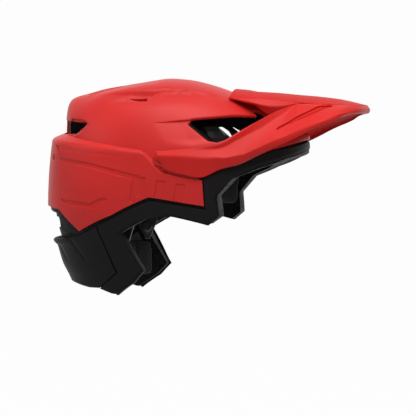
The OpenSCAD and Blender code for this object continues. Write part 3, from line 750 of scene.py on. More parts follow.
@dataclass(frozen=True)
class KnitFinish:
    """Brushed knit over comfort foam, with a visible mesh of small loops."""

    name: str
    colour: Colour
    pitch: float = 0.0011

    def build(self) -> bpy.types.Material:
        """Builds the material."""
        shade = Shade(self.name)
        x, y, z = shade.axes(shade.place())
        turn = 2 * math.pi / self.pitch
        rows = ((x + y * 0.6) * turn).math("SINE") * ((z + x * 0.35) * turn).math("SINE")
        loops = rows.between(-0.7, 0.8)
        fuzz = shade.noise(2600.0, 3.0, 0.7)
        tone = shade.noise(30.0, 2.0).between(0.3, 0.7)
        base = shade.colours(loops, toned(self.colour, 0.55), toned(self.colour, 1.3))
        base = shade.colours(tone * 0.35, base, toned(self.colour, 1.9))
        return shade.done(
            Base_Color=base,
            Roughness=fuzz * 0.12 + 0.82,
            Sheen_Weight=0.35,
            Normal=shade.bump(loops * 0.7 + fuzz * 0.3, 0.00025, 0.8),
        )


@dataclass(frozen=True)
class WebbingFinish:
    """Woven webbing; the pattern follows the strap through its UV map, in metres."""

    name: str
    colour: Colour
    pitch: float = 0.0016

    def build(self) -> bpy.types.Material:
        """Builds the material."""
        shade = Shade(self.name)
        along, over, _ = shade.axes(shade.node("ShaderNodeUVMap", uv_map="UVMap"))
        turn = 2 * math.pi / self.pitch
        warp = (over * turn).math("SINE")
        weft = (along * turn + warp * 1.2).math("SINE")
        yarn = (weft * 0.6 + warp * 0.4).between(-0.8, 0.9)
        rim = (over - 0.0075).math("ABSOLUTE").between(0.0058, 0.0064)
        fuzz = shade.noise(3000.0, 3.0, 0.7)
        base = shade.colours(yarn, toned(self.colour, 0.5), toned(self.colour, 1.5))
        base = shade.colours(rim * 0.6, base, toned(self.colour, 0.8))
        return shade.done(
            Base_Color=base,
            Roughness=fuzz * 0.15 + 0.68,
            Sheen_Weight=0.2,
            Normal=shade.bump(yarn + fuzz * 0.25, 0.00022, 0.9),
        )


@dataclass(frozen=True)
class MetalFinish:
    """Turned and tumbled metal with fine rings of wear."""

    name: str
    colour: Colour
    roughness: float = 0.35

    def build(self) -> bpy.types.Material:
        """Builds the material."""
        shade = Shade(self.name)
        lines = shade.noise(160.0, 4.0, 0.6, shade.stretched((9.0, 1.0, 9.0)))
        spots = shade.noise(400.0, 4.0, 0.7).between(0.5, 0.7)
        return shade.done(
            Base_Color=shade.colours(spots * 0.4, self.colour, toned(self.colour, 0.55)),
            Metallic=1.0,
            Roughness=lines * 0.2 + spots * 0.15 + (self.roughness - 0.15),
            Normal=shade.bump(lines, 0.00002),
        )


class Finish(Enum):
    """The helmet's finishes."""

    SHELL_RED = MouldedFinish("shell_red_matt", linear(214, 43, 40), 0.45, gloss=0.24)
    VISOR_RED = MouldedFinish("visor_red_satin", linear(214, 38, 34), 0.44, peel=0.00003, gloss=0.18)
    # The top panel's copy of the visor red: the same plastic, painted a little darker as painted shade on its
    # lit top, and with less sheen
    VISOR_TOP = MouldedFinish("visor_top_red_matt", linear(205, 38, 35), 0.48, peel=0.00003, gloss=0.05)
    TRIM_BLACK = MouldedFinish("trim_black_satin", linear(31, 29, 30), 0.52, wear=0.3, gloss=0.06)
    BUCKLE_BLACK = MouldedFinish("buckle_black", linear(30, 30, 31), 0.5, peel=0.00006, wear=0.35)
    LINER = MouldedFinish("liner_dark_sheet", linear(42, 42, 45), 0.32, wear=0.25)
    ANCHOR = MouldedFinish("anchor_elastomer", linear(52, 52, 54), 0.6, grain=2200.0)
    RUBBER = MouldedFinish("washer_rubber", linear(24, 24, 24), 0.72, grain=2600.0)
    PULL_RED = MouldedFinish("pull_red_rubber", linear(186, 34, 32), 0.55, grain=2200.0)
    FOAM = FoamFinish("bead_foam_black", linear(30, 29, 29))
    CLOTH = KnitFinish("pad_knit_black", linear(26, 26, 28))
    WEBBING = WebbingFinish("strap_weave_black", linear(28, 28, 29))
    THREAD = MouldedFinish("thread_grey", linear(58, 58, 60), 0.7, grain=3000.0)
    PIN = MetalFinish("pin_steel", linear(128, 130, 134))
    MAGNET = MetalFinish("magnet_nickel", linear(176, 176, 172), 0.25)

    def material(self) -> bpy.types.Material:
        """The finish's material, built once."""
        found = bpy.data.materials.get(self.value.name)
        return found or self.value.build()


def set_down(obj: Obj, body: str, finish: Finish, stands_for: Sequence[str] = ()) -> None:
    """Gives a piece its finish and body and reports it.

    Args:
        obj: The finished piece.
        body: The body it rides on.
        finish: Its finish.
        stands_for: Nodes that it replaces.
    """
    obj.data.materials.clear()
    obj.data.materials.append(finish.material())
    obj.data.polygons.foreach_set("material_index", [0] * len(obj.data.polygons))
    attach(obj, body)
    if stands_for:
        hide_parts(*stands_for)
    LOG.info("%s: %d faces on %s, %s", obj.name, len(obj.data.polygons), body, finish.value.name)


@dataclass(frozen=True)
class Fitting:
    """A piece made from a copy of its own solid, with broken edges.

    Attributes:
        node: The solid.
        name: The piece's name.
        finish: Its finish.
        slot: The record's material slot; not used.
        width: Width of the rounded edges in millimetres.
        body: The body it rides on.
        steps: Faces across a rounded edge.
        sharp: Angle from which an edge stays sharp.
    """

    node: str
    name: str
    finish: Finish
    slot: str
    width: float
    body: str = "helmet"
    steps: int = 3
    sharp: float = 25.0

    def build(self) -> None:
        """Builds and places the piece."""
        obj = merged_copy(self.name, self.node, self.sharp)
        set_down(rounded_edge(obj, self.width, self.steps), self.body, self.finish, [self.node])


HINGE_AND_LINER = (
    Fitting("pivot_pins", "pivot_pins_turned", Finish.PIN, "pin_grey", 0.5, "visor_body", 2),
    Fitting("pivot_bushes", "pivot_bushes_turned", Finish.PIN, "pin_grey", 0.35, steps=2),
    Fitting("friction_washers", "friction_washers_turned", Finish.RUBBER, "washer_rubber", 0.2, steps=2),
    Fitting("slip_liner", "slip_liner_sheet", Finish.LINER, "liner_sheet", 0.25, "liner_body", 1, 40),
    Fitting("liner_anchors", "liner_anchor_plugs", Finish.ANCHOR, "anchor_rubber", 0.5, "helmet", 2, 30),
)
STRAP_AND_BUCKLE = (
    Fitting("strap_dividers", "strap_dividers_moulded", Finish.BUCKLE_BLACK, "buckle_black", 0.8),
    Fitting("strap_anchors", "strap_anchors_moulded", Finish.BUCKLE_BLACK, "buckle_black", 0.8),
    Fitting("buckle_base", "buckle_base_moulded", Finish.BUCKLE_BLACK, "buckle_black", 1.1),
    Fitting(
        "buckle_slider", "buckle_slider_moulded", Finish.BUCKLE_BLACK, "buckle_black", 1.1, "slider_body"
    ),
    Fitting("buckle_magnets", "buckle_magnets_moulded", Finish.MAGNET, "magnet", 0.25),
    Fitting("buckle_pull", "buckle_pull_moulded", Finish.PULL_RED, "pull_red", 0.5, "slider_body"),
)


def lathe(profile: Points, count: int) -> tuple[np.ndarray, Faces]:
    """Turns a profile of radius and height round Z.

    Args:
        profile: Radius and height from one end on the axis to the other.
        count: Corners round the axis.

    Returns:
        Points and faces of a closed solid.
    """
    a = np.arange(count) * 2 * math.pi / count
    points = np.array([(r * np.cos(a), r * np.sin(a), np.full(count, h)) for r, h in profile])
    return points.transpose(0, 2, 1).reshape(-1, 3), grid_faces(len(profile), count, True).tolist()


def paths_object(paths: Sequence[np.ndarray]) -> Obj:
    """A mesh of edges along paths in millimetres."""
    starts = np.cumsum([0, *map(len, paths)]).tolist()
    edges = [(k, k + 1) for a, b in zip(starts, starts[1:]) for k in range(a, b - 1)]
    mesh = bpy.data.meshes.new("paths")
    mesh.from_pydata((np.concatenate(paths) * MM).tolist(), edges, [])
    obj = bpy.data.objects.new("paths", mesh)
    bpy.context.scene.collection.objects.link(obj)
    return obj


class Grower:
    """A node tree for geometry along paths, with sizes in millimetres."""

    def __init__(self, name: str, *sizes: str) -> None:
        """Starts the tree with a geometry input and its number inputs."""
        self.tree = bpy.data.node_groups.new(name, "GeometryNodeTree")
        face = self.tree.interface
        face.new_socket("Geometry", in_out="INPUT", socket_type="NodeSocketGeometry")
        kinds = {**dict.fromkeys(sizes, "Float"), "Material": "Material"}
        self.ids = {
            key: face.new_socket(key, in_out="INPUT", socket_type="NodeSocket" + kind).identifier
            for key, kind in kinds.items()
        }
        face.new_socket("Geometry", in_out="OUTPUT", socket_type="NodeSocketGeometry")
        self.given = self.tree.nodes.new("NodeGroupInput").outputs
        self.end = self.tree.nodes.new("NodeGroupOutput")
        self.curve = self.node("GeometryNodeMeshToCurve", {0: self.given["Geometry"]})

    def node(self, kind: str, inputs: Inputs | None = None, **settings: object) -> bpy.types.NodeSocket:
        """Adds a node and returns its first output; sockets among the inputs are linked."""
        node = self.tree.nodes.new(kind)
        for key, value in settings.items():
            setattr(node, key, value)
        for key, value in (inputs or {}).items():
            if isinstance(value, bpy.types.NodeSocket):
                self.tree.links.new(value, node.inputs[key])
            else:
                node.inputs[key].default_value = value
        return node.outputs[0]

    def finish(self, geometry: bpy.types.NodeSocket) -> None:
        """Ends the tree in real geometry with its material."""
        real = self.node("GeometryNodeRealizeInstances", {0: geometry})
        dressed = self.node("GeometryNodeSetMaterial", {"Geometry": real, "Material": self.given["Material"]})
        self.tree.links.new(dressed, self.end.inputs[0])

    def grow(self, paths: Sequence[np.ndarray], finish: Finish, **sizes: float) -> Obj:
        """Runs the tree along paths.

        Args:
            paths: Points of each path in millimetres.
            finish: The finish of what grows.
            **sizes: Values of the number inputs in millimetres.

        Returns:
            An object with the plain resulting mesh, named like the tree.
        """
        base = paths_object(paths)
        modifier = base.modifiers.new("grow", "NODES")
        modifier.node_group = self.tree
        for key, value in sizes.items():
            modifier[self.ids[key]] = value * MM
        modifier[self.ids["Material"]] = finish.material()
        graph = bpy.context.evaluated_depsgraph_get()
        mesh = bpy.data.meshes.new_from_object(base.evaluated_get(graph))
        bpy.data.objects.remove(base)
        mesh.name = self.tree.name
        return linked(self.tree.name, mesh, 50)


class Sweep(Grower):
    """Round ribs along paths, with closed ends."""

    def __init__(self, name: str) -> None:
        """Builds the tree."""
        super().__init__(name, "Radius")
        size = {"Resolution": 10, "Radius": self.given["Radius"]}
        ring = self.node("GeometryNodeCurvePrimitiveCircle", size)
        self.finish(self.node("GeometryNodeCurveToMesh", {0: self.curve, 1: ring, "Fill Caps": True}))


class StitchRow(Grower):
    """Short raised stitches in a row along paths."""

    def __init__(self, name: str) -> None:
        """Builds the tree."""
        super().__init__(name, "Pitch", "Length", "Radius")
        spots = {"Curve": self.curve, "Length": self.given["Pitch"]}
        even = self.node("GeometryNodeResampleCurve", spots, mode="LENGTH")
        half = self.node("ShaderNodeMath", {0: self.given["Length"], 1: 0.5}, operation="MULTIPLY")
        ball = self.node("GeometryNodeMeshUVSphere", {"Segments": 6, "Rings": 4, "Radius": 1.0})
        thin = self.given["Radius"]
        size = self.node("ShaderNodeCombineXYZ", {0: thin, 1: thin, 2: half})
        shaped = self.node("GeometryNodeTransform", {"Geometry": ball, "Scale": size})
        tangent = self.node("GeometryNodeInputTangent")
        turn = self.node("FunctionNodeAlignRotationToVector", {"Vector": tangent}, axis="Z")
        laid = {"Points": even, "Instance": shaped, "Rotation": turn}
        self.finish(self.node("GeometryNodeInstanceOnPoints", laid))


CROWN_FOOT = (
    (160, 28), (143.5, 22), (114, 11.5), (90.5, 3.5), (68, -5), (-8, -5), (-20, 0.5), (-60, 6),
    (-160, 14),
)
BAND_TOP = (
    (42, -19.5), (22, -12.5), (8, -9), (0, -3.5), (-9, 1), (-21, 9), (-60, 13.5), (-97, 18), (-126, 22),
    (-150, 25),
)
BAND_FOOT = ((43.5, -51.4), (14, -46.7), (-15, -42), (-56, -61), (-97, -80), (-123, -56), (-150, -50))
TRIM_TOP = (
    (150, 21.5), (114, 11.3), (90.5, 3.5), (68, -5), (42, -18), (44, -51.5), (14, -46.7), (-15, -42),
    (-56, -61), (-74, -69.4), (-74, -74), (-64.5, -97), (-54.5, -120.5), (-66, -129.5), (-76.5, -138),
)
TRIM_FOOT = (
    (150, 11), (128, 3), (100, -8), (72.5, -19), (55, -38), (57.5, -60), (47.5, -68.5), (8, -59),
    (-11, -60.8), (-19, -61.5), (-48.5, -77.5), (-38, -95), (-24.5, -118), (-36, -130.5), (-57, -145),
)
NAPE_TOP = ((-75.5, -71.5), (-86, -76), (-97, -81), (-112, -84.5), (-126, -85), (-150, -85))
NAPE_FOOT = ((-55.5, -120.5), (-66, -129), (-77, -138), (-90, -138), (-108, -134.5), (-150, -131))


def on_ring(line: Points) -> np.ndarray:
    """Ring angles and heights of side places on the body."""
    p = np.array(line, float)
    return np.stack([BODY.angle(p[:, 0], p[:, 1]), p[:, 1]], 1)


def stations(line: np.ndarray, steps: Sequence[int]) -> np.ndarray:
    """Puts equal steps between the points of a line."""
    rows = [line[i] + (line[i + 1] - line[i]) * k / n for i, n in enumerate(steps) for k in range(n)]
    return np.array([*rows, line[-1]])


def over_middle(line: np.ndarray, turn: float) -> np.ndarray:
    """Carries one-sided ring places on over the mid-plane at a ring angle."""
    back = line[-2::-1].copy()
    back[:, 0] = 2 * turn - back[:, 0]
    return np.vstack([line, back])


def between_lines(top: np.ndarray, foot: np.ndarray, t: np.ndarray) -> np.ndarray:
    """Points of the body between two lines of ring places, at shares t of the way down."""
    way = top[None] * (1 - t[:, None, None]) + foot[None] * t[:, None, None]
    return BODY.point(way[..., 0], way[..., 1])


def filleted(columns: np.ndarray, corner: int, reach: int) -> np.ndarray:
    """Rounds the corner row of a grid whose rows run over an edge.

    Args:
        columns: Grid of points, rows first.
        corner: The row at the corner.
        reach: Rows taken on each side.

    Returns:
        The grid with the corner as a smooth bend.
    """
    out = columns.copy()
    a, b, c = columns[corner - reach], columns[corner], columns[corner + reach]
    for k in range(-reach, reach + 1):
        t = (k + reach) / (2 * reach)
        out[corner + k] = (1 - t) ** 2 * a + 2 * t * (1 - t) * b + t * t * c
    return out


def run_of(grid: np.ndarray) -> np.ndarray:
    """Length along each column of a grid of points, from its first row."""
    run = np.linalg.norm(np.diff(grid, axis=0), axis=-1)
    return np.concatenate([np.zeros_like(run[:1]), np.cumsum(run, 0)])


def edge_round(distance: np.ndarray, radius: np.ndarray | float) -> np.ndarray:
    """Drop of a rounded edge at a distance from it."""
    near = np.clip(radius - np.maximum(distance, 0), 0, radius)
    return radius - np.sqrt(np.maximum(radius**2 - near**2, 0))


@dataclass
class CrownShell:
    """The crown's red skin with its vents, scoops and side channels."""

    columns: int = 380
    rows: int = 104
    wall: float = 2.2
    vent_bridge: float = 38.0
    rear_bridge: float = 9.0
    ridge_drop: float = 3.2
    side_vent: Line = (
        (25.4, 40.3), (28.2, 44.1), (71.6, 48.4), (93.7, 48), (97.7, 46.3), (64.1, 23.4), (56, 20.7),
        (47.6, 22.3),
    )
    side_slot: Line = ((-44, 69.7), (-44, 70.1), (-27, 71.9), (-25.6, 71.7), (-27.2, 69.5))
    rear_vent: Line = ((-93, 42), (-92.1, 40.5), (-106.8, 29.7), (-150, 28), (-150, 44))
    rear_dish: Line = ((-112, 45), (-97, 43.6), (-85, 38.8), (-100, 30.2), (-113, 26))
    scoop: Line = (
        (-70, 64.6), (-50, 71.6), (-34, 76), (-18, 78.2), (-6, 78.8), (2, 78.6), (-18, 74.8), (-21, 71),
        (-24, 66.2), (-69, 64.6),
    )
    channel: Line = ((-13, 39.8), (26, 43.5), (25.4, 40.3), (47.6, 22.3), (61, 21.3), (33, 14.9), (3.4, 16))
    shoulder: Line = ((-80, 47), (-50, 56), (-15, 61), (20, 57), (60, 48))
    back: Line = ((-112, 0), (-96, 0.8), (-76, 2.3), (-58, 2.9), (-44, 2.5), (-26, 1.3), (-8, 0), (90, 0))

    def ridge(self, p: np.ndarray) -> np.ndarray:
        """Drop beside the ridge line that starts above the scoop."""
        x, y = p[..., 0], np.abs(p[..., 1])
        d = y - Table(self.shoulder)(x)
        along = step(x + 78, 30) * (1 - step(x - 20, 36))
        lip = 0.6 * np.exp(-(((y - 30.5) / 3.5) ** 2)) * step(x + 108, 16) * (1 - step(x + 62, 14))
        beside = self.ridge_drop * along * step(d, 3) * (1 - step(d - 3, 24))
        return beside - lip + Table(self.back)(x) * step(52 - y, 24)

    def cuts(self) -> list[Cut]:
        """The crown's openings and recesses."""
        foot = outline([*moved_line(CROWN_FOOT, -0.3), (-160, -90), (160, -90)])
        top = line_distance([(-70, 64.6), (-50, 71.6), (-34, 76), (-18, 78.2), (2, 78.6)])
        fold = line_distance([(-13, 39.8), (3.4, 16)])
        low = line_distance([(3.4, 16), (33, 14.9), (61, 21.3)])
        slope = lambda p: np.minimum(0.1 * fold(p), 2.4) * step(low(p), 9)
        scooped = lambda p: np.clip(0.75 * (top(p) - 0.4), 0, 9.4)
        dished = lambda p: 2.4 * (1 - step(p[:, 0] + 97, 12))
        return [
            Cut(beyond(outline(self.channel, 0.5), 60), slope, 1.2),
            Cut(beyond(outline(self.scoop, 0.4), 40), scooped, 1.2),
            Cut(beyond(outline(self.rear_dish, 0.5), 40), dished, 1.6),
            Cut(foot, None, 1.2),
            Cut(beyond(outline(self.side_vent, 0.8), self.vent_bridge), None, 1.4),
            Cut(beyond(outline(self.rear_vent, 0.5), self.rear_bridge), None, 1.2),
            Cut(beyond(outline(self.side_slot, 0.1), 50), None, 0.4),
            *(Cut(self.front_vent(y), None, 1.4) for y in (20.0, 44.0)),
            Cut(self.top_vent, None, 1.4),
        ]

    def front_vent(self, y: float) -> Field:
        """Slanted slot over the brow, at a place beside the mid-plane."""

        def distance(p: np.ndarray) -> np.ndarray:
            x, z = p[:, 0] - 70, p[:, 2] - 14
            slot = slotted((x - z) * math.sqrt(0.5), np.abs(p[:, 1]) - y, 8, 7.5)
            return slot + np.where(x + z > 0, 0.0, AWAY)

        return distance

    def top_vent(self, p: np.ndarray) -> np.ndarray:
        """Slot on top beside the ridge."""
        return slotted(p[:, 0] + 79, np.abs(p[:, 1]) - 22, 13, 5.5) + np.where(p[:, 2] > 45, 0.0, AWAY)

    def build(self) -> None:
        """Builds and places the crown."""
        u = np.arange(self.columns) * 360 / self.columns
        v = np.concatenate([np.linspace(0, 88, self.rows - 16), np.linspace(89, 102, 16)])
        grid = CROWN.point(*np.meshgrid(u, v))
        skin = Skin(grid, -self.ridge(grid), self.wall, closed=True)
        obj = fresh_mesh("crown_skin", *skin.build(self.cuts()))
        set_down(obj, "helmet", Finish.SHELL_RED, ["crown_shell"])


@dataclass
class RearBand:
    """The red band round the back with its mould lines."""

    columns: int = 420
    rows: int = 66
    ledge_rows: int = 10
    wall: float = 2.2
    seam: float = 0.3
    lip_rise: float = 0.45
    groove: float = 1.0
    strip: Line = (
        (-131, 7), (-128, 4.6), (-80, -3.2), (-31, -14.8), (-26.5, -15.8), (-32, -44), (-36.5, -42),
        (-33, -19.4), (-80, -7.2), (-128, 0.6), (-131, 1.4),
    )
    swoosh: Line = ((-118, -41.5), (-82, -46.2), (-69, -40), (-62, -40), (-76, -50.5), (-112, -46.8))
    bars: tuple[Line, ...] = (
        ((-27.5, -17), (-18.5, -18), (-22.5, -38), (-31.5, -36.6)),
        ((-6.5, -20.5), (2.5, -21.6), (-1.5, -41.2), (-10.5, -39.6)),
        ((14.5, -24), (23.5, -25.2), (19.5, -44.2), (10.5, -42.8)),
    )
    rear_mark: Line = ((-126, 16.5), (-122, 6), (-119, 4.6), (-123, 15.6))
    visor_fold: Line = (
        (-23, 40), (-22.6, 10.5), (-14, 1), (-6, -8.5), (1.2, -13), (14, -15.4), (60, -24), (60, 40),
    )
    thin_lines: tuple[tuple[Line, float], ...] = (
        (((-126, 14.4), (-122, 12.8), (-44, 4.6)), 0.9),
        (((-121, -31), (-70, -41.4), (-38, -43)), 0.8),
    )

    def lines(self) -> list[Cut]:
        """Shallow mould lines and panels on the band's flank."""
        spots = [(self.strip, 30), (self.swoosh, 30), *((bar, 60) for bar in self.bars), (self.rear_mark, 30)]
        return [Cut(beyond(outline(line, 0.2), y), flat_floor(self.groove), 0.5) for line, y in spots]

    def sunk(self, p: np.ndarray) -> np.ndarray:
        """Drop of the band's thin lines and of the fold at the visor's arm."""
        flat = p.reshape(-1, 3)
        drop = np.zeros(len(flat))
        for line, width in self.thin_lines:
            drop += 0.35 * (1 - step(line_distance(line)(flat), width))
        drop += 2.2 * step(0.8 - outline(self.visor_fold)(flat), 1.8) * (np.abs(flat[:, 1]) > 40)
        return drop.reshape(p.shape[:-1])

    def build(self) -> None:
        """Builds and places the band."""
        top = over_middle(on_ring(BAND_TOP), 180)
        foot = over_middle(on_ring(moved_line(BAND_FOOT, -3.5)), 180)
        start = min(top[0, 0], foot[0, 0]) - 2
        u = np.linspace(start, 360 - start, self.columns)
        z_top, z_foot = np.interp(u, top[:, 0], top[:, 1]), np.interp(u, foot[:, 0], foot[:, 1])
        t = np.linspace(0, 1, self.rows)[:, None]
        z = z_top * (1 - t) + z_foot * t
        wall = BODY.point(np.broadcast_to(u, z.shape), z)
        edge = wall[0]
        rim = CROWN.rim(edge, self.seam)
        reach = np.linalg.norm(rim[:, :2] - edge[:, :2], axis=1)
        lip = rim + np.outer(self.lip_rise * np.minimum(reach, 12), [0, 0, 1])
        share = step(z_top + 0.5, 5)[:, None]
        lip = BODY.point(u, z_top, 1.5) * (1 - share) + lip * share
        s = np.linspace(1, 0, self.ledge_rows + 1)[:-1, None, None]
        grid = filleted(np.concatenate([edge + (lip - edge) * s, wall]), self.ledge_rows, 3)
        kept = outline([*moved_line(BAND_FOOT, -self.seam), (-170, -50), (-170, 90), (60, 90), (41.8, -18.5)])
        skin = Skin(grid, -self.sunk(grid), self.wall)
        obj = fresh_mesh("rear_band_skin", *skin.build([*self.lines(), Cut(lambda p: -kept(p))]))
        set_down(obj, "helmet", Finish.SHELL_RED, ["rear_band"])


@dataclass
class LowerTrim:
    """The black skin from the brow to the foot of the drop, with its chamfer and rolled lip."""

    rows: int = 26
    lip_rows: int = 6
    steps: tuple[int, ...] = (24, 16, 14, 18, 18, 20, 20, 26, 14, 6, 14, 16, 10, 10)
    lip: float = 5.0
    wall: float = 2.2
    chamfer: float = 6.0
    chamfer_drop: float = 2.4
    seam: float = 0.3

    def build(self) -> None:
        """Builds and places the trim."""
        top = over_middle(stations(on_ring(moved_line(TRIM_TOP, self.seam)), self.steps)[::-1], 0)
        foot = over_middle(stations(on_ring(TRIM_FOOT), self.steps)[::-1], 0)
        t = (1 - np.cos(np.linspace(0, math.pi, self.rows))) / 2
        t = (t + np.linspace(0, 1, self.rows)) / 2
        wall = between_lines(top, foot, t)
        inner = BODY.point(foot[:, 0], foot[:, 1], self.lip)
        s = np.linspace(0, 1, self.lip_rows + 1)[1:, None, None]
        grid = filleted(np.concatenate([wall, wall[-1] + (inner - wall[-1]) * s]), self.rows - 1, 2)
        up = run_of(wall)
        down = up[-1] - up
        slant = self.chamfer_drop * np.clip(1 - down / np.minimum(self.chamfer, 0.45 * up[-1]), 0, 1)
        lift = -edge_round(up, 1.0) - slant
        lift = np.concatenate([lift, np.zeros((self.lip_rows, lift.shape[1]))])
        obj = fresh_mesh("lower_trim_skin", *Skin(grid, lift, self.wall).build(), 30)
        set_down(obj, "helmet", Finish.TRIM_BLACK, ["lower_trim"])


@dataclass
class NapeCover:
    """The black skin round the foot of the drop, with a flared upper lip and two soft creases."""

    rows: int = 40
    steps: tuple[int, ...] = (8, 14, 14, 14, 40)
    wall: float = 2.2
    flare: float = 2.5
    creases: tuple[Line, ...] = (((-108, -86), (-92, -106)), ((-124, -95), (-116, -108)))

    def build(self) -> None:
        """Builds and places the cover."""
        top = over_middle(stations(on_ring(NAPE_TOP), self.steps), 180)
        foot = over_middle(stations(on_ring(NAPE_FOOT), self.steps), 180)
        t = np.linspace(0, 1, self.rows)
        grid = between_lines(top, foot, t)
        down = run_of(grid)
        rear = step(150 - np.abs(top[:, 0] - 180) - 100, 30)
        lift = self.flare * rear * (1 - step(down - 3.0, 6.0))
        lift -= edge_round(down, 1.6) * (0.4 + rear) + edge_round(down[-1] - down, 1.0)
        flat = grid.reshape(-1, 3)
        for crease in self.creases:
            lift -= 0.8 * (1 - step(line_distance(crease)(flat), 3.0)).reshape(lift.shape)
        obj = fresh_mesh("nape_cover_skin", *Skin(grid, lift, self.wall).build())
        set_down(obj, "helmet", Finish.TRIM_BLACK, ["nape_cover"])


WING_UPPER = (
    (-7.5, 116.5, 10.5), (14, 116.2, 12), (38, 113.7, 14.6), (59, 110, 18), (80, 101.5, 30.2),
    (102, 88.5, 44.8), (121, 73.5, 55.3), (138, 61.5, 61), (156, 60.5, 61), (174, 59, 60),
    (190, 55.5, 60), (200.4, 47.6, 58.4), (205, 24, 59.3), (206.2, 0, 59.5),
)
WING_LOWER = (
    (1.5, 117, -9), (20, 117, -13.8), (40, 115.7, -17.2), (62, 113.2, -8), (79, 111.5, -2.6),
    (98, 109.5, 7.4), (117, 107, 17.4), (136, 103.5, 26.8), (155, 99.5, 36), (172, 94, 43),
    (186, 83, 48.2), (197, 60, 49.8), (203.6, 33, 50.6), (206.2, 0, 50.4),
)
PANEL_MID = (
    (63, 78), (91, 75.6), (112, 74), (133, 71.7), (156, 69.5), (174, 67.2), (190, 63.6), (200, 61),
    (206, 59.6),
)
# Stations of the web below the panel's edge: places along it, the bevel's lower line, the skirt's lower line
WEB_X = (62, 80, 92, 100, 110, 120, 132, 141)
WEB_BEVEL = (
    (63, 52.6, 68), (80.5, 60, 64.2), (92.5, 62.8, 61.4), (101, 63.8, 59.3), (111, 63.9, 57.9),
    (121, 62.8, 58.3), (132, 61.3, 60.4), (140.5, 60.6, 61.9),
)
WEB_LOW = (
    (63, 52.3, 66.8), (80, 58.5, 62.2), (92, 60, 58.8), (100, 58.5, 52.5), (110, 57.5, 48),
    (120, 57.5, 49.5), (132, 59, 56), (140, 60.4, 60.6),
)
# The arm's section by place: where its upper strip ends, where its crest lies, and how far that stands out
ARM_STRIP = (
    (-8, 0), (25, 0.01), (40, 0.06), (58, 0.17), (71, 0.19), (87, 0.21), (103, 0.26), (115, 0.21),
    (128, 0.12), (138, 0.03), (150, 0), (206, 0),
)
ARM_CREST = (
    (-8, 0.26), (5, 0.26), (38, 0.355), (54, 0.5), (66, 0.68), (81, 0.78), (90, 0.87), (103, 0.91),
    (121, 0.94), (138, 0.955), (160, 0.96), (190, 0.93), (208, 0.9),
)
ARM_RISE = ((-8, 3), (38, 4.2), (66, 4.4), (81, 3.8), (103, 3.2), (121, 2.6), (138, 1.6), (208, 0.8))
ARM_DIP = (
    (-8, 0), (30, 0.1), (45, 0.8), (58, 2), (71, 2.6), (103, 2.8), (121, 2.2), (134, 0.8), (140, 0),
    (208, 0),
)
PANEL_EDGE = (
    (62, 52, 68.6), (91, 57, 67), (112, 58.5, 65.2), (134, 60, 62.8), (156, 61.5, 61), (174, 60, 60),
    (190, 56.5, 59.8), (196.5, 52.5, 59.2), (200.5, 47, 58.2),
)


def curve_of(points: Points) -> Callable[[np.ndarray], np.ndarray]:
    """A smooth curve through points, read at their numbers.

    Args:
        points: The points.

    Returns:
        A function from point numbers, whole or not, to places.
    """
    rows = [(k, *p) for k, p in enumerate(points)]
    table = Table(rows)
    return lambda t: np.stack([table(t, c) for c in range(1, len(rows[0]))], -1)


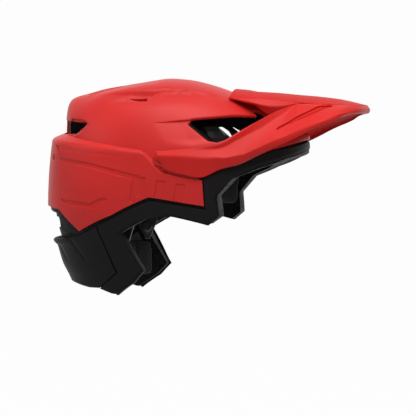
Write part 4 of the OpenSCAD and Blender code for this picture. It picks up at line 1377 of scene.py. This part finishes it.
@dataclass
class Visor:
    """The visor: a bowed panel, two faceted arms with a notch and a recess each, and ribs below."""

    wall: float = 2.8
    arm_wall: float = 2.3
    bow: float = 1.5
    arm_columns: int = 260
    arm_rows: int = 46
    panel_rows: int = 60
    panel_columns: int = 150
    lower_tuck: float = 2.0
    chevron_step: float = 2.2
    chevron: Line = ((120, 34.6), (137, 63), (176, 58.6), (166.5, 55.9))
    groove: Line = (
        (119.2, 33.6), (119.6, 35.6), (141, 45.8), (163, 57.4), (173.5, 59.2), (175, 57.6), (167, 54.6),
        (143, 44), (121, 33.2),
    )
    groove_depth: float = 2.3
    panel_pitch: float = 24
    arm_pitch: float = 17
    rib_places: tuple[float, ...] = (-36.0, -18.0, 18.0, 36.0)

    def top(self, mid: np.ndarray, edge: np.ndarray, s: np.ndarray) -> np.ndarray:
        """Points of the panel at shares s of the way from its middle line to its edge."""
        x = mid[:, 0] + (edge[:, 0] - mid[:, 0]) * s * s
        z = mid[:, 1] + (edge[:, 2] - mid[:, 1]) * s * s + self.bow * (1 - s * s) * np.abs(s)
        return np.stack([x, s * edge[:, 1], z], -1)

    def panel(self) -> Obj:
        """The top panel with its rounded edges and a soft middle channel."""
        i = np.linspace(0, 8, self.panel_columns)
        i = np.concatenate([[0, 0.012, 0.03, 0.06], i[1:-1], [7.93, 7.97, 8]])
        mid, edge = curve_of(PANEL_MID)(i), curve_of(PANEL_EDGE)(i)
        s = np.linspace(-1, 1, 2 * self.panel_rows + 1)
        s = np.concatenate([[-1, -0.995, -0.985], s[1:-1], [0.985, 0.995, 1]])[:, None]
        grid = self.top(mid, edge, s)
        folds = [grid[:, -1:] + [0.3, 0, -drop] for drop in (0.5, 1.0)]
        grid = np.concatenate([grid, *folds], 1)
        i = np.concatenate([i, [8.01, 8.02]])
        edge = np.concatenate([edge, np.repeat(edge[-1:], 2, 0)])
        x, y = grid[..., 0], np.abs(grid[..., 1])
        free = 1 - step(x - 128, 8)
        lift = -edge_round(i * self.panel_pitch, 1.2) - free * edge_round((1 - np.abs(s)) * edge[:, 1], 0.9)
        along = step(x - 74, 16) * (1 - step(x - 158, 30))
        lift -= 1.3 * along * (1 - step(y - (15 + 9 * step(158 - x, 90)), 2.5))
        return fresh_mesh("panel", *Skin(grid, lift, self.wall).build())

    def web(self, side: Side) -> Obj:
        """The lit bevel below the panel's edge and the skirt that turns in under it."""
        k = np.linspace(0, len(WEB_X) - 1, 170)
        x = np.interp(k, range(len(WEB_X)), WEB_X)
        i = np.interp(x, [p[0] for p in PANEL_EDGE], range(len(PANEL_EDGE)))
        edge, bevel, low = curve_of(PANEL_EDGE)(i), curve_of(WEB_BEVEL)(k), curve_of(WEB_LOW)(k)
        t = np.linspace(0, 1, 12)[:, None, None]
        grid = filleted(np.concatenate([edge + (bevel - edge) * t, bevel + (low - bevel) * t[1:]]), 11, 2)
        points, faces = Skin(grid, np.full(grid.shape[:2], -0.3), 1.8).build()
        return fresh_mesh("web", side.of(points), faces, 50)

    def section(self, x: np.ndarray, t: np.ndarray) -> np.ndarray:
        """How far the arm stands out at shares t of its height."""
        strip, crest, rise, dip = (Table(rows)(x) for rows in (ARM_STRIP, ARM_CREST, ARM_RISE, ARM_DIP))
        up = (rise + dip) * np.clip((t - strip) / (crest - strip), 0, 1)
        up = up - dip * np.clip(t / np.maximum(strip, 0.01), 0, 1)
        tuck = self.lower_tuck * (1 - 0.7 * step(x - 140, 30))
        return up - (rise + tuck) * np.clip((t - crest) / (1 - crest), 0, 1)

    def arm(self, side: Side) -> Obj:
        """One arm, from its end over the pivot to the visor's tip."""
        i = np.linspace(0, 13, self.arm_columns)
        i = np.concatenate([[0, 0.02, 0.05], i[1:]])
        upper, lower = curve_of(WING_UPPER)(i), curve_of(WING_LOWER)(i)
        t = np.linspace(0.07, 0.93, self.arm_rows)
        t = np.concatenate([[0, 0.01, 0.03, 0.05], t, [0.95, 0.97, 0.99, 1]])[:, None]
        grid = upper * (1 - t[..., None]) + lower * t[..., None]
        height = np.linalg.norm(upper - lower, axis=1)[None]
        place = np.broadcast_to(upper[:, 0], t.shape[:1] + (len(upper),))
        soft = 0.015 + 0.05 * step(80 - place, 40)
        lift = sum(self.section(place, np.clip(t + soft * k / 3, 0, 1)) for k in range(-3, 4)) / 7
        lift += (1.2 + 1.2 * step(place - 198, 8)) * np.sin(math.pi * t) * step(place - 148, 30)
        lift -= edge_round((1 - t) * height, 1.0) + edge_round(i * self.arm_pitch, 1.2)
        crown_edge = 1.0 + 0.8 * step(place - 100, 12) * (1 - step(place - 134, 8))
        lift -= edge_round(t * height, crown_edge) * (1 - step(place - 138, 8))
        flat = grid.reshape(-1, 3)
        ledge = np.minimum(line_distance([(137, 61.6), (176, 58.4)])(flat) / 3.2, 1)
        ledge = ledge * step(flat[:, 0] - 121, 22) * step(0.3 - outline(self.chevron)(flat), 0.6)
        lift += self.chevron_step * ledge.reshape(lift.shape)
        cut = Cut(beyond(outline(self.groove, 0.3), 50), flat_floor(self.groove_depth), 0.4)
        points, faces = Skin(grid, lift, self.arm_wall).build([cut])
        return fresh_mesh("arm", side.of(points), faces, 28)

    def pad(self, side: Side) -> Obj:
        """The round pad inside an arm that sits on the pivot pin's flange."""
        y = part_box("pivot_pins")[1].y / MM + 0.02
        points, faces = lathe([(0, 0), (8.2, 0), (8.8, 0.3), (9, 0.8), (8.4, 2.4), (7.6, 2.9), (0, 2.9)], 48)
        return fresh_mesh("pad", side.of(points[:, [0, 2, 1]] + [20, y, 3]), faces)

    def ribs(self) -> Obj:
        """Round stiffening ribs under the panel, swept by a node tree along their paths."""
        i = np.linspace(3, 6, 24)
        mid, edge = curve_of(PANEL_MID)(i), curve_of(PANEL_EDGE)(i)
        under = [0, 0, -self.wall - 0.2]
        paths = [self.top(mid, edge, y / edge[:, 1]) + under for y in self.rib_places]
        return Sweep("ribs").grow(paths, Finish.VISOR_RED, Radius=1.7)

    def build(self) -> None:
        """Builds and places the visor."""
        parts = [make(side) for side in Side for make in (self.web, self.arm, self.pad)]
        whole = joined("visor_shell", parts, 30)
        top = joined("visor_top", [self.panel(), self.ribs()], 30)
        # The top panel takes the darker copy of the red, painted shade on its lit top
        for obj, finish in ((whole, Finish.VISOR_RED), (top, Finish.VISOR_TOP)):
            set_down(obj, "visor_body", finish, ["visor"])


@dataclass
class FoamBody:
    """The three bead-foam bodies behind the skins."""

    edge: float = 0.6
    back_off: float = 1.5
    drawn_above: float = 12.0
    outward: float = 0.55
    pocket: Line = ((-72, 62), (-50, 71.5), (-30, 76.5), (-4, 80), (2, 78.5), (-17, 72.5), (-20, 62))

    def cleared(self, obj: Obj) -> Obj:
        """Hollows the foam below the scoops' floors and draws its outside in a little."""
        points = np.array([(x, y, z) for y in (52, 118) for x, z in self.pocket], float)
        faces = tube_faces(2, len(self.pocket))
        cutters = [fresh_mesh("pocket", side.of(points), faces, 180) for side in (Side.RIGHT, Side.LEFT)]
        cutter = joined("pockets", cutters, 180)
        cut = obj.modifiers.new("pockets", "BOOLEAN")
        cut.operation = "DIFFERENCE"
        cut.solver = "EXACT"
        cut.object = cutter
        name = obj.name
        obj.name = name + "_whole"
        done = joined(name, [obj], 30)
        bpy.data.objects.remove(cutter)
        for v in done.data.vertices:
            if v.co.z > self.drawn_above * MM and v.normal.dot(v.co) > self.outward * v.co.length:
                v.co -= v.normal * self.back_off * MM
        return done

    def build(self) -> None:
        """Builds and places the foam."""
        for node in ("foam_upper", "foam_rear", "foam_lower"):
            obj = merged_copy(node + "_beads", node, 30)
            if node != "foam_lower":
                obj = self.cleared(obj)
            set_down(rounded_edge(obj, self.edge, 2), "helmet", Finish.FOAM, [node])


def head_point(u: np.ndarray, v: np.ndarray, inset: np.ndarray | float, top: float = 56.0) -> np.ndarray:
    """Points of the head space.

    Args:
        u: Ring angles from the front over the left.
        v: Degrees from the top to the rim at 90, then millimetres down the wall.
        inset: Distance in from the foam.
        top: Height of the dome.

    Returns:
        The points.
    """
    u, v, inset = np.broadcast_arrays(np.asarray(u, float), np.asarray(v, float), np.asarray(inset, float))
    wall = HEAD.point(u, np.minimum(0, 90 - v), inset)
    b = np.radians(np.minimum(v, 90))
    middle = (HEAD.rows[-1][1] + HEAD.rows[-1][2]) / 2
    x, y = middle + (wall[..., 0] - middle) * np.sin(b), wall[..., 1] * np.sin(b)
    return np.where((v > 90)[..., None], wall, np.stack([x, y, (top - inset) * np.cos(b)], -1))


def read_points(mesh: bpy.types.Mesh) -> np.ndarray:
    """Places of a mesh's vertices in metres."""
    flat = np.empty(len(mesh.vertices) * 3, np.float32)
    mesh.vertices.foreach_get("co", flat)
    return flat.reshape(-1, 3)


def write_points(mesh: bpy.types.Mesh, points: np.ndarray) -> None:
    """Moves a mesh's vertices to places in metres."""
    mesh.vertices.foreach_set("co", points.ravel().astype(np.float32))
    mesh.update()


@dataclass(frozen=True)
class PadPlace:
    """Where a comfort pad lies.

    Attributes:
        node: The solid that it stands for.
        u: Ring angles of its ends.
        v: Its upper and lower place on the head space.
        seat: Distance of its back from the foam.
        thick: Full thickness.
        body: The body it rides on.
        side: The side it lies on; ring angles are those of the left.
        channels: Sewn channels across it, as shares of its length.
    """

    node: str
    u: tuple[float, float]
    v: tuple[float, float]
    seat: float
    thick: float = 7.0
    body: str = "liner_body"
    side: Side = Side.LEFT
    channels: tuple[float, ...] = ()


@dataclass
class Padding:
    """Comfort pads: knit over foam, swollen by a cloth simulation, with a rim seam and sewn channels.

    Attributes:
        on_liner: Distance from the foam of pads on the liner.
        on_wall: Distance from the foam of pads on the helmet.
        edge: Thickness at the rim.
        base: Distance of the back from its seat.
        cap: How far the simulation may move a point.
        voxel: Size of the faces before the simulation.
        frames: Frames of the simulation.
        pressure: Pressure inside the cloth.
        seam: Inset, width and depth of the rim seam.
        crease: Distance from the rim, width and depth of a sewn channel.
    """

    on_liner: float = 3.9
    on_wall: float = 2.3
    edge: float = 1.2
    base: float = 0.15
    cap: float = 1.4
    voxel: float = 1.6
    frames: int = 20
    pressure: float = 4.0
    seam: tuple[float, float, float] = (3.2, 0.7, 0.5)
    crease: tuple[float, float, float] = (2.5, 1.3, 1.5)

    def places(self) -> list[list[PadPlace]]:
        """The pads, grouped by solid."""
        low, high = self.on_wall, self.on_liner

        def ends(front: float, rear: float, z: float) -> tuple[float, float]:
            return float(HEAD.angle(front, z)), float(HEAD.angle(rear, z))

        temple, ear = ends(58, 26, -30), ends(-44, -76, -110)
        groups = [
            [PadPlace("brow_pad", (-32, 32), (64, 86), high, channels=(0.2, 0.4, 0.6, 0.8))],
            [PadPlace("crown_pad", u, (20, 36), high, channels=(0.5,)) for u in ((-34, 34), (146, 214))],
            [PadPlace("rear_pad", (152, 208), (64, 86), high, channels=(0.33, 0.67))],
            [PadPlace("nape_pad", (148, 212), (108, 148), low, body="helmet", channels=(0.5,))],
        ]
        for side in Side:
            end = side.value
            groups += [
                [PadPlace("side_pad_" + end, (58, 122), (66, 85), high, side=side, channels=(0.33, 0.67))],
                [PadPlace("temple_pad_" + end, temple, (104, 140), low, 6.0, "helmet", side)],
                [PadPlace("ear_pad_" + end, ear, (182, 220), low, 7.0, "helmet", side, (0.5,))],
            ]
        return groups

    def surface(self, pad: PadPlace, s: np.ndarray, k: np.ndarray, rise: np.ndarray | float) -> np.ndarray:
        """Points of a pad at shares s along it and k down it, a height over its back."""
        middle = (pad.v[0] + pad.v[1]) / 2
        full = np.sqrt(np.maximum(0, 1 - np.abs(2 * s - 1) ** 6))
        v = middle + (pad.v[0] + (pad.v[1] - pad.v[0]) * k - middle) * (0.7 + 0.3 * full)
        return pad.side.of(head_point(pad.u[0] + (pad.u[1] - pad.u[0]) * s, v, pad.seat + rise))

    def height(self, pad: PadPlace, s: np.ndarray, k: np.ndarray) -> np.ndarray:
        """Height of a pad's face over its back."""
        along = np.sqrt(np.maximum(0, 1 - np.abs(2 * s - 1) ** 4))
        down = np.sqrt(np.maximum(0, 1 - np.abs(2 * k - 1) ** 2.4))
        return self.edge + (0.86 * pad.thick - self.edge) * along * down

    def blank(self, pad: PadPlace) -> Obj:
        """The pad before it swells."""
        s, k = np.meshgrid(np.linspace(0, 1, 40), np.linspace(0, 1, 22))
        face = self.surface(pad, s, k, self.height(pad, s, k)).reshape(-1, 3)
        back = self.surface(pad, s, k, self.base).reshape(-1, 3)
        quads = grid_faces(*s.shape)
        pairs = np.stack([quads, quads[:, ::-1] + s.size], 1).reshape(-1, 4)
        spot = np.arange(s.size).reshape(s.shape)
        rim = np.concatenate([spot[0], spot[1:, -1], spot[-1, -2::-1], spot[-2:0:-1, 0]])
        after = np.roll(rim, -1)
        wall = np.stack([after, rim, rim + s.size, after + s.size], 1)
        return fresh_mesh("blank", np.concatenate([face, back]), np.concatenate([pairs, wall]).tolist(), 180)

    def swollen(self, obj: Obj) -> Obj:
        """Lets a blank swell as cloth and holds how far each point may move."""
        remesh = obj.modifiers.new("even", "REMESH")
        remesh.mode = "VOXEL"
        remesh.voxel_size = self.voxel * MM
        remesh.use_smooth_shade = True
        start = joined("pad", [obj], 180)
        rest = read_points(start.data)
        cloth = start.modifiers.new("swell", "CLOTH")
        cloth.settings.use_pressure = True
        cloth.settings.uniform_pressure_force = self.pressure
        cloth.settings.effector_weights.gravity = 0.0
        cloth.settings.quality = 4
        cloth.settings.mass = 0.15
        cloth.settings.tension_stiffness = cloth.settings.compression_stiffness = 12
        cloth.point_cache.frame_start = 1
        cloth.point_cache.frame_end = self.frames
        for frame in range(1, self.frames + 1):
            bpy.context.scene.frame_set(frame)
        graph = bpy.context.evaluated_depsgraph_get()
        shift = np.nan_to_num(read_points(start.evaluated_get(graph).data) - rest)
        start.modifiers.remove(cloth)
        bpy.context.scene.frame_set(1)
        size = np.linalg.norm(shift, axis=1, keepdims=True)
        write_points(start.data, rest + shift * np.minimum(1, self.cap * MM / np.maximum(size, TINY)))
        return start

    def sewn(self, obj: Obj, pad: PadPlace) -> None:
        """Keeps a swollen pad off its seat and presses its rim seam and channels in."""
        s, k = (part.ravel() for part in np.meshgrid(np.linspace(0, 1, 90), np.linspace(0, 1, 46)))
        grid = self.surface(pad, s, k, 0.0)
        inward = unit(self.surface(pad, s, k, 1.0) - grid)
        p = read_points(obj.data).astype(float) / MM
        chunks = (p[start : start + CHUNK, None] - grid[None] for start in range(0, len(p), CHUNK))
        near = np.concatenate([(gaps**2).sum(2).argmin(1) for gaps in chunks])
        n = inward[near]
        rise = ((p - grid[near]) * n).sum(1)

        def span(*ends: tuple[float, float]) -> float:
            a, b = (self.surface(pad, np.array([x]), np.array([y]), 0.0) for x, y in ends)
            return np.linalg.norm(b - a)

        long, wide = span((0, 0.5), (1, 0.5)), span((0.5, 0), (0.5, 1))
        rim = np.minimum(np.minimum(s[near], 1 - s[near]) * long, np.minimum(k[near], 1 - k[near]) * wide)
        inset, width, depth = self.seam
        press = depth * np.exp(-(((rim - inset) / width) ** 2))
        inset, width, depth = self.crease
        for place in pad.channels:
            across = np.abs(s[near] - place) * long
            press += depth * np.exp(-((across / width) ** 2)) * step(rim - inset, 3)
        target = np.clip(rise - press * step(rise - 0.8, 1.2), 0.12, pad.thick)
        write_points(obj.data, (p + n * (target - rise)[:, None]) * MM)

    def stitch_paths(self, pad: PadPlace) -> list[np.ndarray]:
        """Paths of the visible stitches along the rim seam."""
        s = np.linspace(0.09, 0.91, 60)
        paths = []
        for k in (0.14, 0.86):
            kk = np.full_like(s, k)
            paths.append(self.surface(pad, s, kk, self.height(pad, s, kk) + self.base))
        return paths

    def build(self) -> None:
        """Builds and places the pads and their stitches."""
        rows: dict[str, list[np.ndarray]] = {}
        for group in self.places():
            parts = []
            for pad in group:
                obj = self.swollen(self.blank(pad))
                self.sewn(obj, pad)
                rows.setdefault(pad.body, []).extend(self.stitch_paths(pad))
                parts.append(obj)
            node = group[0].node
            whole = joined(node + "_knit", parts, 180)
            smooth = whole.modifiers.new("fine", "SUBSURF")
            smooth.levels = smooth.render_levels = 1
            set_down(whole, group[0].body, Finish.CLOTH, [node])
        for body, paths in rows.items():
            tree = StitchRow("pad_stitches_" + body)
            stitches = tree.grow(paths, Finish.THREAD, Pitch=2.6, Length=1.8, Radius=0.28)
            set_down(stitches, body, Finish.THREAD)


@dataclass
class Harness:
    """Webbing with its bar tacks."""

    width: float = 15.0
    thick: float = 1.2
    gap: float = 0.6
    bend: float = 34.5
    zigzags: int = 15
    tack_reach: float = 1.1
    tack_margin: float = 1.75
    tack_rise: float = 0.06
    front: Line = ((40, -24), (8, -40), (-36, -58))
    rear: Line = ((-98, -40), (-84, -62), (-70, -70))
    chin: Line = ((-56, -88), (-68, -96), (-78, -104))

    def strap(self, name: str, rows: Sequence[Section], side: Side) -> Obj:
        """A strap from its cross sections."""
        middle, across, face = (np.array(part) for part in zip(*rows))
        half, thin = self.width / 2, self.thick / 2
        ring = [(-1, -0.4), (-0.985, -0.85), (-0.94, -1), (0.94, -1), (0.985, -0.85), (1, -0.4)]
        ring += [(a, -b) for a, b in reversed(ring)]
        points = np.stack([middle + across * a * half + face * b * thin for a, b in ring], 1)
        mesh = bpy.data.meshes.new(name)
        faces = tube_faces(len(middle), len(ring))
        mesh.from_pydata((side.of(points.reshape(-1, 3)) * MM).tolist(), [], faces)
        over = [(a + 1) * half for a, _ in ring]
        spots = np.stack(np.broadcast_arrays(run_of(middle)[:, None], over), -1).reshape(-1, 2) * MM
        corners = np.empty(len(mesh.loops), int)
        mesh.loops.foreach_get("vertex_index", corners)
        mesh.uv_layers.new(name="UVMap").data.foreach_set("uv", spots[corners].ravel())
        with editing(mesh, mesh) as work:
            bmesh.ops.recalc_face_normals(work, faces=work.faces)
        return linked(name, mesh, 50)

    def wall_rows(self, line: Points, count: int) -> list[Section]:
        """Cross sections of a strap that lies on the inner wall along side places."""
        p = np.array(line, float)
        way = np.stack([HEAD.angle(p[:, 0], p[:, 1]), 90 - p[:, 1]], 1)
        t = np.linspace(0, len(line) - 1, count)
        place = np.stack([np.interp(t, range(len(line)), way[:, c]) for c in range(2)], 1)
        seat = self.gap + self.thick / 2
        middle = head_point(place[:, 0], place[:, 1], seat)
        ahead = unit(np.gradient(middle, axis=0))
        face = unit(head_point(place[:, 0], place[:, 1], seat + 1) - middle)
        face = unit(face - ahead * (face * ahead).sum(1, keepdims=True))
        return list(zip(middle, np.cross(ahead, face), face))

    def chin_rows(self, end_y: float) -> list[Section]:
        """Cross sections of a lower strap, from the divider over the wall into the buckle."""
        out = self.wall_rows(self.chin, 30)
        low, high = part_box("buckle_base")
        web_x = low.x / MM + 2
        z = (low.z + high.z) / 2 / MM
        bend = self.bend
        path = [
            (web_x + 15.5, bend + 8.5, -110.0, 42.0),
            (web_x + 3.0, bend + 2.0, -111.5, 28.0),
            (web_x + 0.4, bend - 3.0, z, 8.0),
            (web_x, bend - 6.0, z, 0.0),
            (web_x, end_y, z, 0.0),
        ]
        for x, y, height, lean in path:
            a = math.radians(lean)
            face = np.array([math.cos(a), -math.sin(a), 0.0])
            out.append((np.array([x, y, height]) + face * self.thick / 2, np.array([0, 0, -1.0]), face))
        middle, across, face = (np.array(part) for part in zip(*out))
        if (across[0] @ across[-1]) < 0:
            across[-5:] *= -1
        t = np.linspace(0, len(middle) - 1, 110)
        read = lambda rows: np.stack([np.interp(t, range(len(rows)), rows[:, c]) for c in range(3)], 1)
        kernel = np.ones(5) / 5
        middle, across, face = read(middle), read(across), read(face)
        for rows in (middle, across, face):
            for c in range(3):
                padded = np.pad(rows[:, c], 2, mode="edge")
                rows[:, c] = np.convolve(padded, kernel, "valid")
        return list(zip(middle, unit(across), unit(face)))

    def tacks(self, rows: Sequence[Section], at: Sequence[float], side: Side) -> list[np.ndarray]:
        """Zigzag paths of bar tacks across a strap at shares of its length."""
        k = np.arange(self.zigzags)[:, None]
        over = (k / (self.zigzags - 1) - 0.5) * (self.width - 2 * self.tack_margin)
        along = np.where(k % 2, self.tack_reach, -self.tack_reach)
        paths = []
        for share in at:
            middle, across, face = rows[int(share * (len(rows) - 1))]
            zigzag = middle + across * over + np.cross(face, across) * along
            paths.append(side.of(zigzag + face * (self.thick / 2 + self.tack_rise)))
        return paths

    def build(self) -> None:
        """Builds and places the straps and their tacks."""
        tacks: list[np.ndarray] = []
        for side, buckle_end in ((Side.LEFT, 16.0), (Side.RIGHT, 12.0)):
            for kind, rows, at in (
                ("front", self.wall_rows(self.front, 60), (0.2, 0.9)),
                ("rear", self.wall_rows(self.rear, 40), (0.3, 0.85)),
                ("chin", self.chin_rows(buckle_end), (0.14,)),
            ):
                node = f"{kind}_strap_{side.value}"
                set_down(self.strap(node + "_web", rows, side), "helmet", Finish.WEBBING, [node])
                tacks += self.tacks(rows, at, side)
        stitches = StitchRow("strap_tacks").grow(tacks, Finish.THREAD, Pitch=1.0, Length=1.0, Radius=0.22)
        set_down(stitches, "helmet", Finish.THREAD)


@dataclass
class PullRibs:
    """Grip ribs across the face of the buckle's pull tab."""

    count: int = 4
    pitch: float = 2.0
    radius: float = 0.45
    inset: float = 3.0

    def build(self) -> None:
        """Builds and places the ribs."""
        low, high = (np.array(corner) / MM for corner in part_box("buckle_pull"))
        z = np.linspace(low[2] + self.inset, high[2] - self.inset, 6)
        places = (low[1] + high[1]) / 2 + (np.arange(self.count) - (self.count - 1) / 2) * self.pitch
        paths = [np.stack(np.broadcast_arrays(high[0] - 0.1, y, z), 1) for y in places]
        obj = Sweep("buckle_pull_ribs").grow(paths, Finish.PULL_RED, Radius=self.radius)
        set_down(obj, "slider_body", Finish.PULL_RED)


@dataclass
class Studio:
    """Camera, floor, backdrop and lamps."""

    turn: float = 8.8
    rise: float = 1.75
    distance: float = 2.78
    target: tuple[float, float, float] = (0.0312, 0.0, -0.0528)
    scale: float = 0.0011
    floor_z: float = -0.34
    world: float = 0.36
    glow: float = 0.98

    def camera(self) -> None:
        """Places the camera at the photograph's angle."""
        a, e = math.radians(self.turn), math.radians(self.rise)
        ahead = Vector((-math.sin(a) * math.cos(e), math.cos(a) * math.cos(e), -math.sin(e)))
        data = bpy.data.cameras.new("camera")
        data.sensor_width = 36.0
        data.lens = 36.0 * self.distance / (self.scale * 416)
        data.clip_end = 40
        obj = bpy.data.objects.new("camera", data)
        obj.location = Vector(self.target) - ahead * self.distance
        obj.rotation_euler = ahead.to_track_quat("-Z", "Y").to_euler()
        bpy.context.scene.collection.objects.link(obj)
        bpy.context.scene.camera = obj

    def seen(self, shade: Shade) -> Value:
        """1 for camera, mirror and glass rays."""
        rays = shade.node("ShaderNodeLightPath").socket.node.outputs
        kinds = ("Camera", "Glossy", "Transmission")
        camera, mirror, glass = (Value(shade, rays[f"Is {kind} Ray"]) for kind in kinds)
        return camera.math("MAXIMUM", mirror).math("MAXIMUM", glass)

    def backdrop(self) -> None:
        """Lays the floor that rises into a backdrop."""
        half, back, top, bend = 9.0, 7.0, 6.0, 2.0
        rows = [(-7.0, self.floor_z), (back - bend, self.floor_z)]
        for k in range(1, 13):
            a = math.pi / 2 * k / 12
            rows.append((back - bend + bend * math.sin(a), self.floor_z + bend * (1 - math.cos(a))))
        rows.append((back, top))
        points = [(x, y, z) for y, z in rows for x in (-half, half)]
        obj = fresh_mesh("floor", np.array(points) / MM, grid_faces(len(rows), 2).tolist())
        shade = Shade("floor_white")
        grain = shade.noise(40.0, 3.0)
        glow = shade.node("ShaderNodeEmission", {0: WHITE})
        shade.done(Base_Color=shade.colours(grain, (0.38, 0.38, 0.38), (0.4, 0.4, 0.4)), Roughness=0.9)
        plain = Value(shade, shade.surface.outputs[0])
        mix = shade.node("ShaderNodeMixShader", {0: self.seen(shade) * self.glow, 1: plain, 2: glow})
        shade.put(shade.end.inputs[0], mix)
        obj.data.materials.append(shade.material)

    def lamps(self) -> None:
        """Soft key from above, a fill from the camera's side and a white world."""
        for name, place, size, power_w in (
            ("key", (0.6, -1.7, 1.7), 1.6, 26.0),
            ("top", (0.0, -0.45, 2.2), 1.4, 24.0),
            ("rear", (-2.0, -0.6, 0.9), 1.2, 5.0),
        ):
            data = bpy.data.lights.new(name, "AREA")
            data.shape = "DISK"
            data.size = size
            data.energy = power_w
            obj = bpy.data.objects.new(name, data)
            obj.location = place
            obj.rotation_euler = (Vector((0, 0, -0.03)) - Vector(place)).to_track_quat("-Z", "Y").to_euler()
            bpy.context.scene.collection.objects.link(obj)
        world = bpy.data.worlds.new("white")
        bpy.context.scene.world = world
        world.use_nodes = True
        tree = world.node_tree
        plain = tree.nodes["Background"]
        plain.inputs[0].default_value = WHITE
        plain.inputs[1].default_value = self.world
        bright = tree.nodes.new("ShaderNodeBackground")
        bright.inputs[0].default_value = WHITE
        path = tree.nodes.new("ShaderNodeLightPath")
        mix = tree.nodes.new("ShaderNodeMixShader")
        tree.links.new(path.outputs["Is Camera Ray"], mix.inputs[0])
        tree.links.new(plain.outputs[0], mix.inputs[1])
        tree.links.new(bright.outputs[0], mix.inputs[2])
        tree.links.new(mix.outputs[0], tree.nodes["World Output"].inputs[0])

    def build(self) -> None:
        """Sets the whole studio up."""
        bpy.context.scene.view_settings.view_transform = "Standard"
        self.camera()
        self.backdrop()
        self.lamps()


def main() -> None:
    """Builds the helmet's looks."""
    logging.basicConfig(level=logging.INFO, format="%(message)s")
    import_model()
    shells = (CrownShell(), RearBand(), LowerTrim(), NapeCover(), Visor(), FoamBody())
    for piece in (Studio(), *shells, *HINGE_AND_LINER, Padding(), Harness(), *STRAP_AND_BUCKLE, PullRibs()):
        piece.build()


if __name__ == "__main__":
    main()
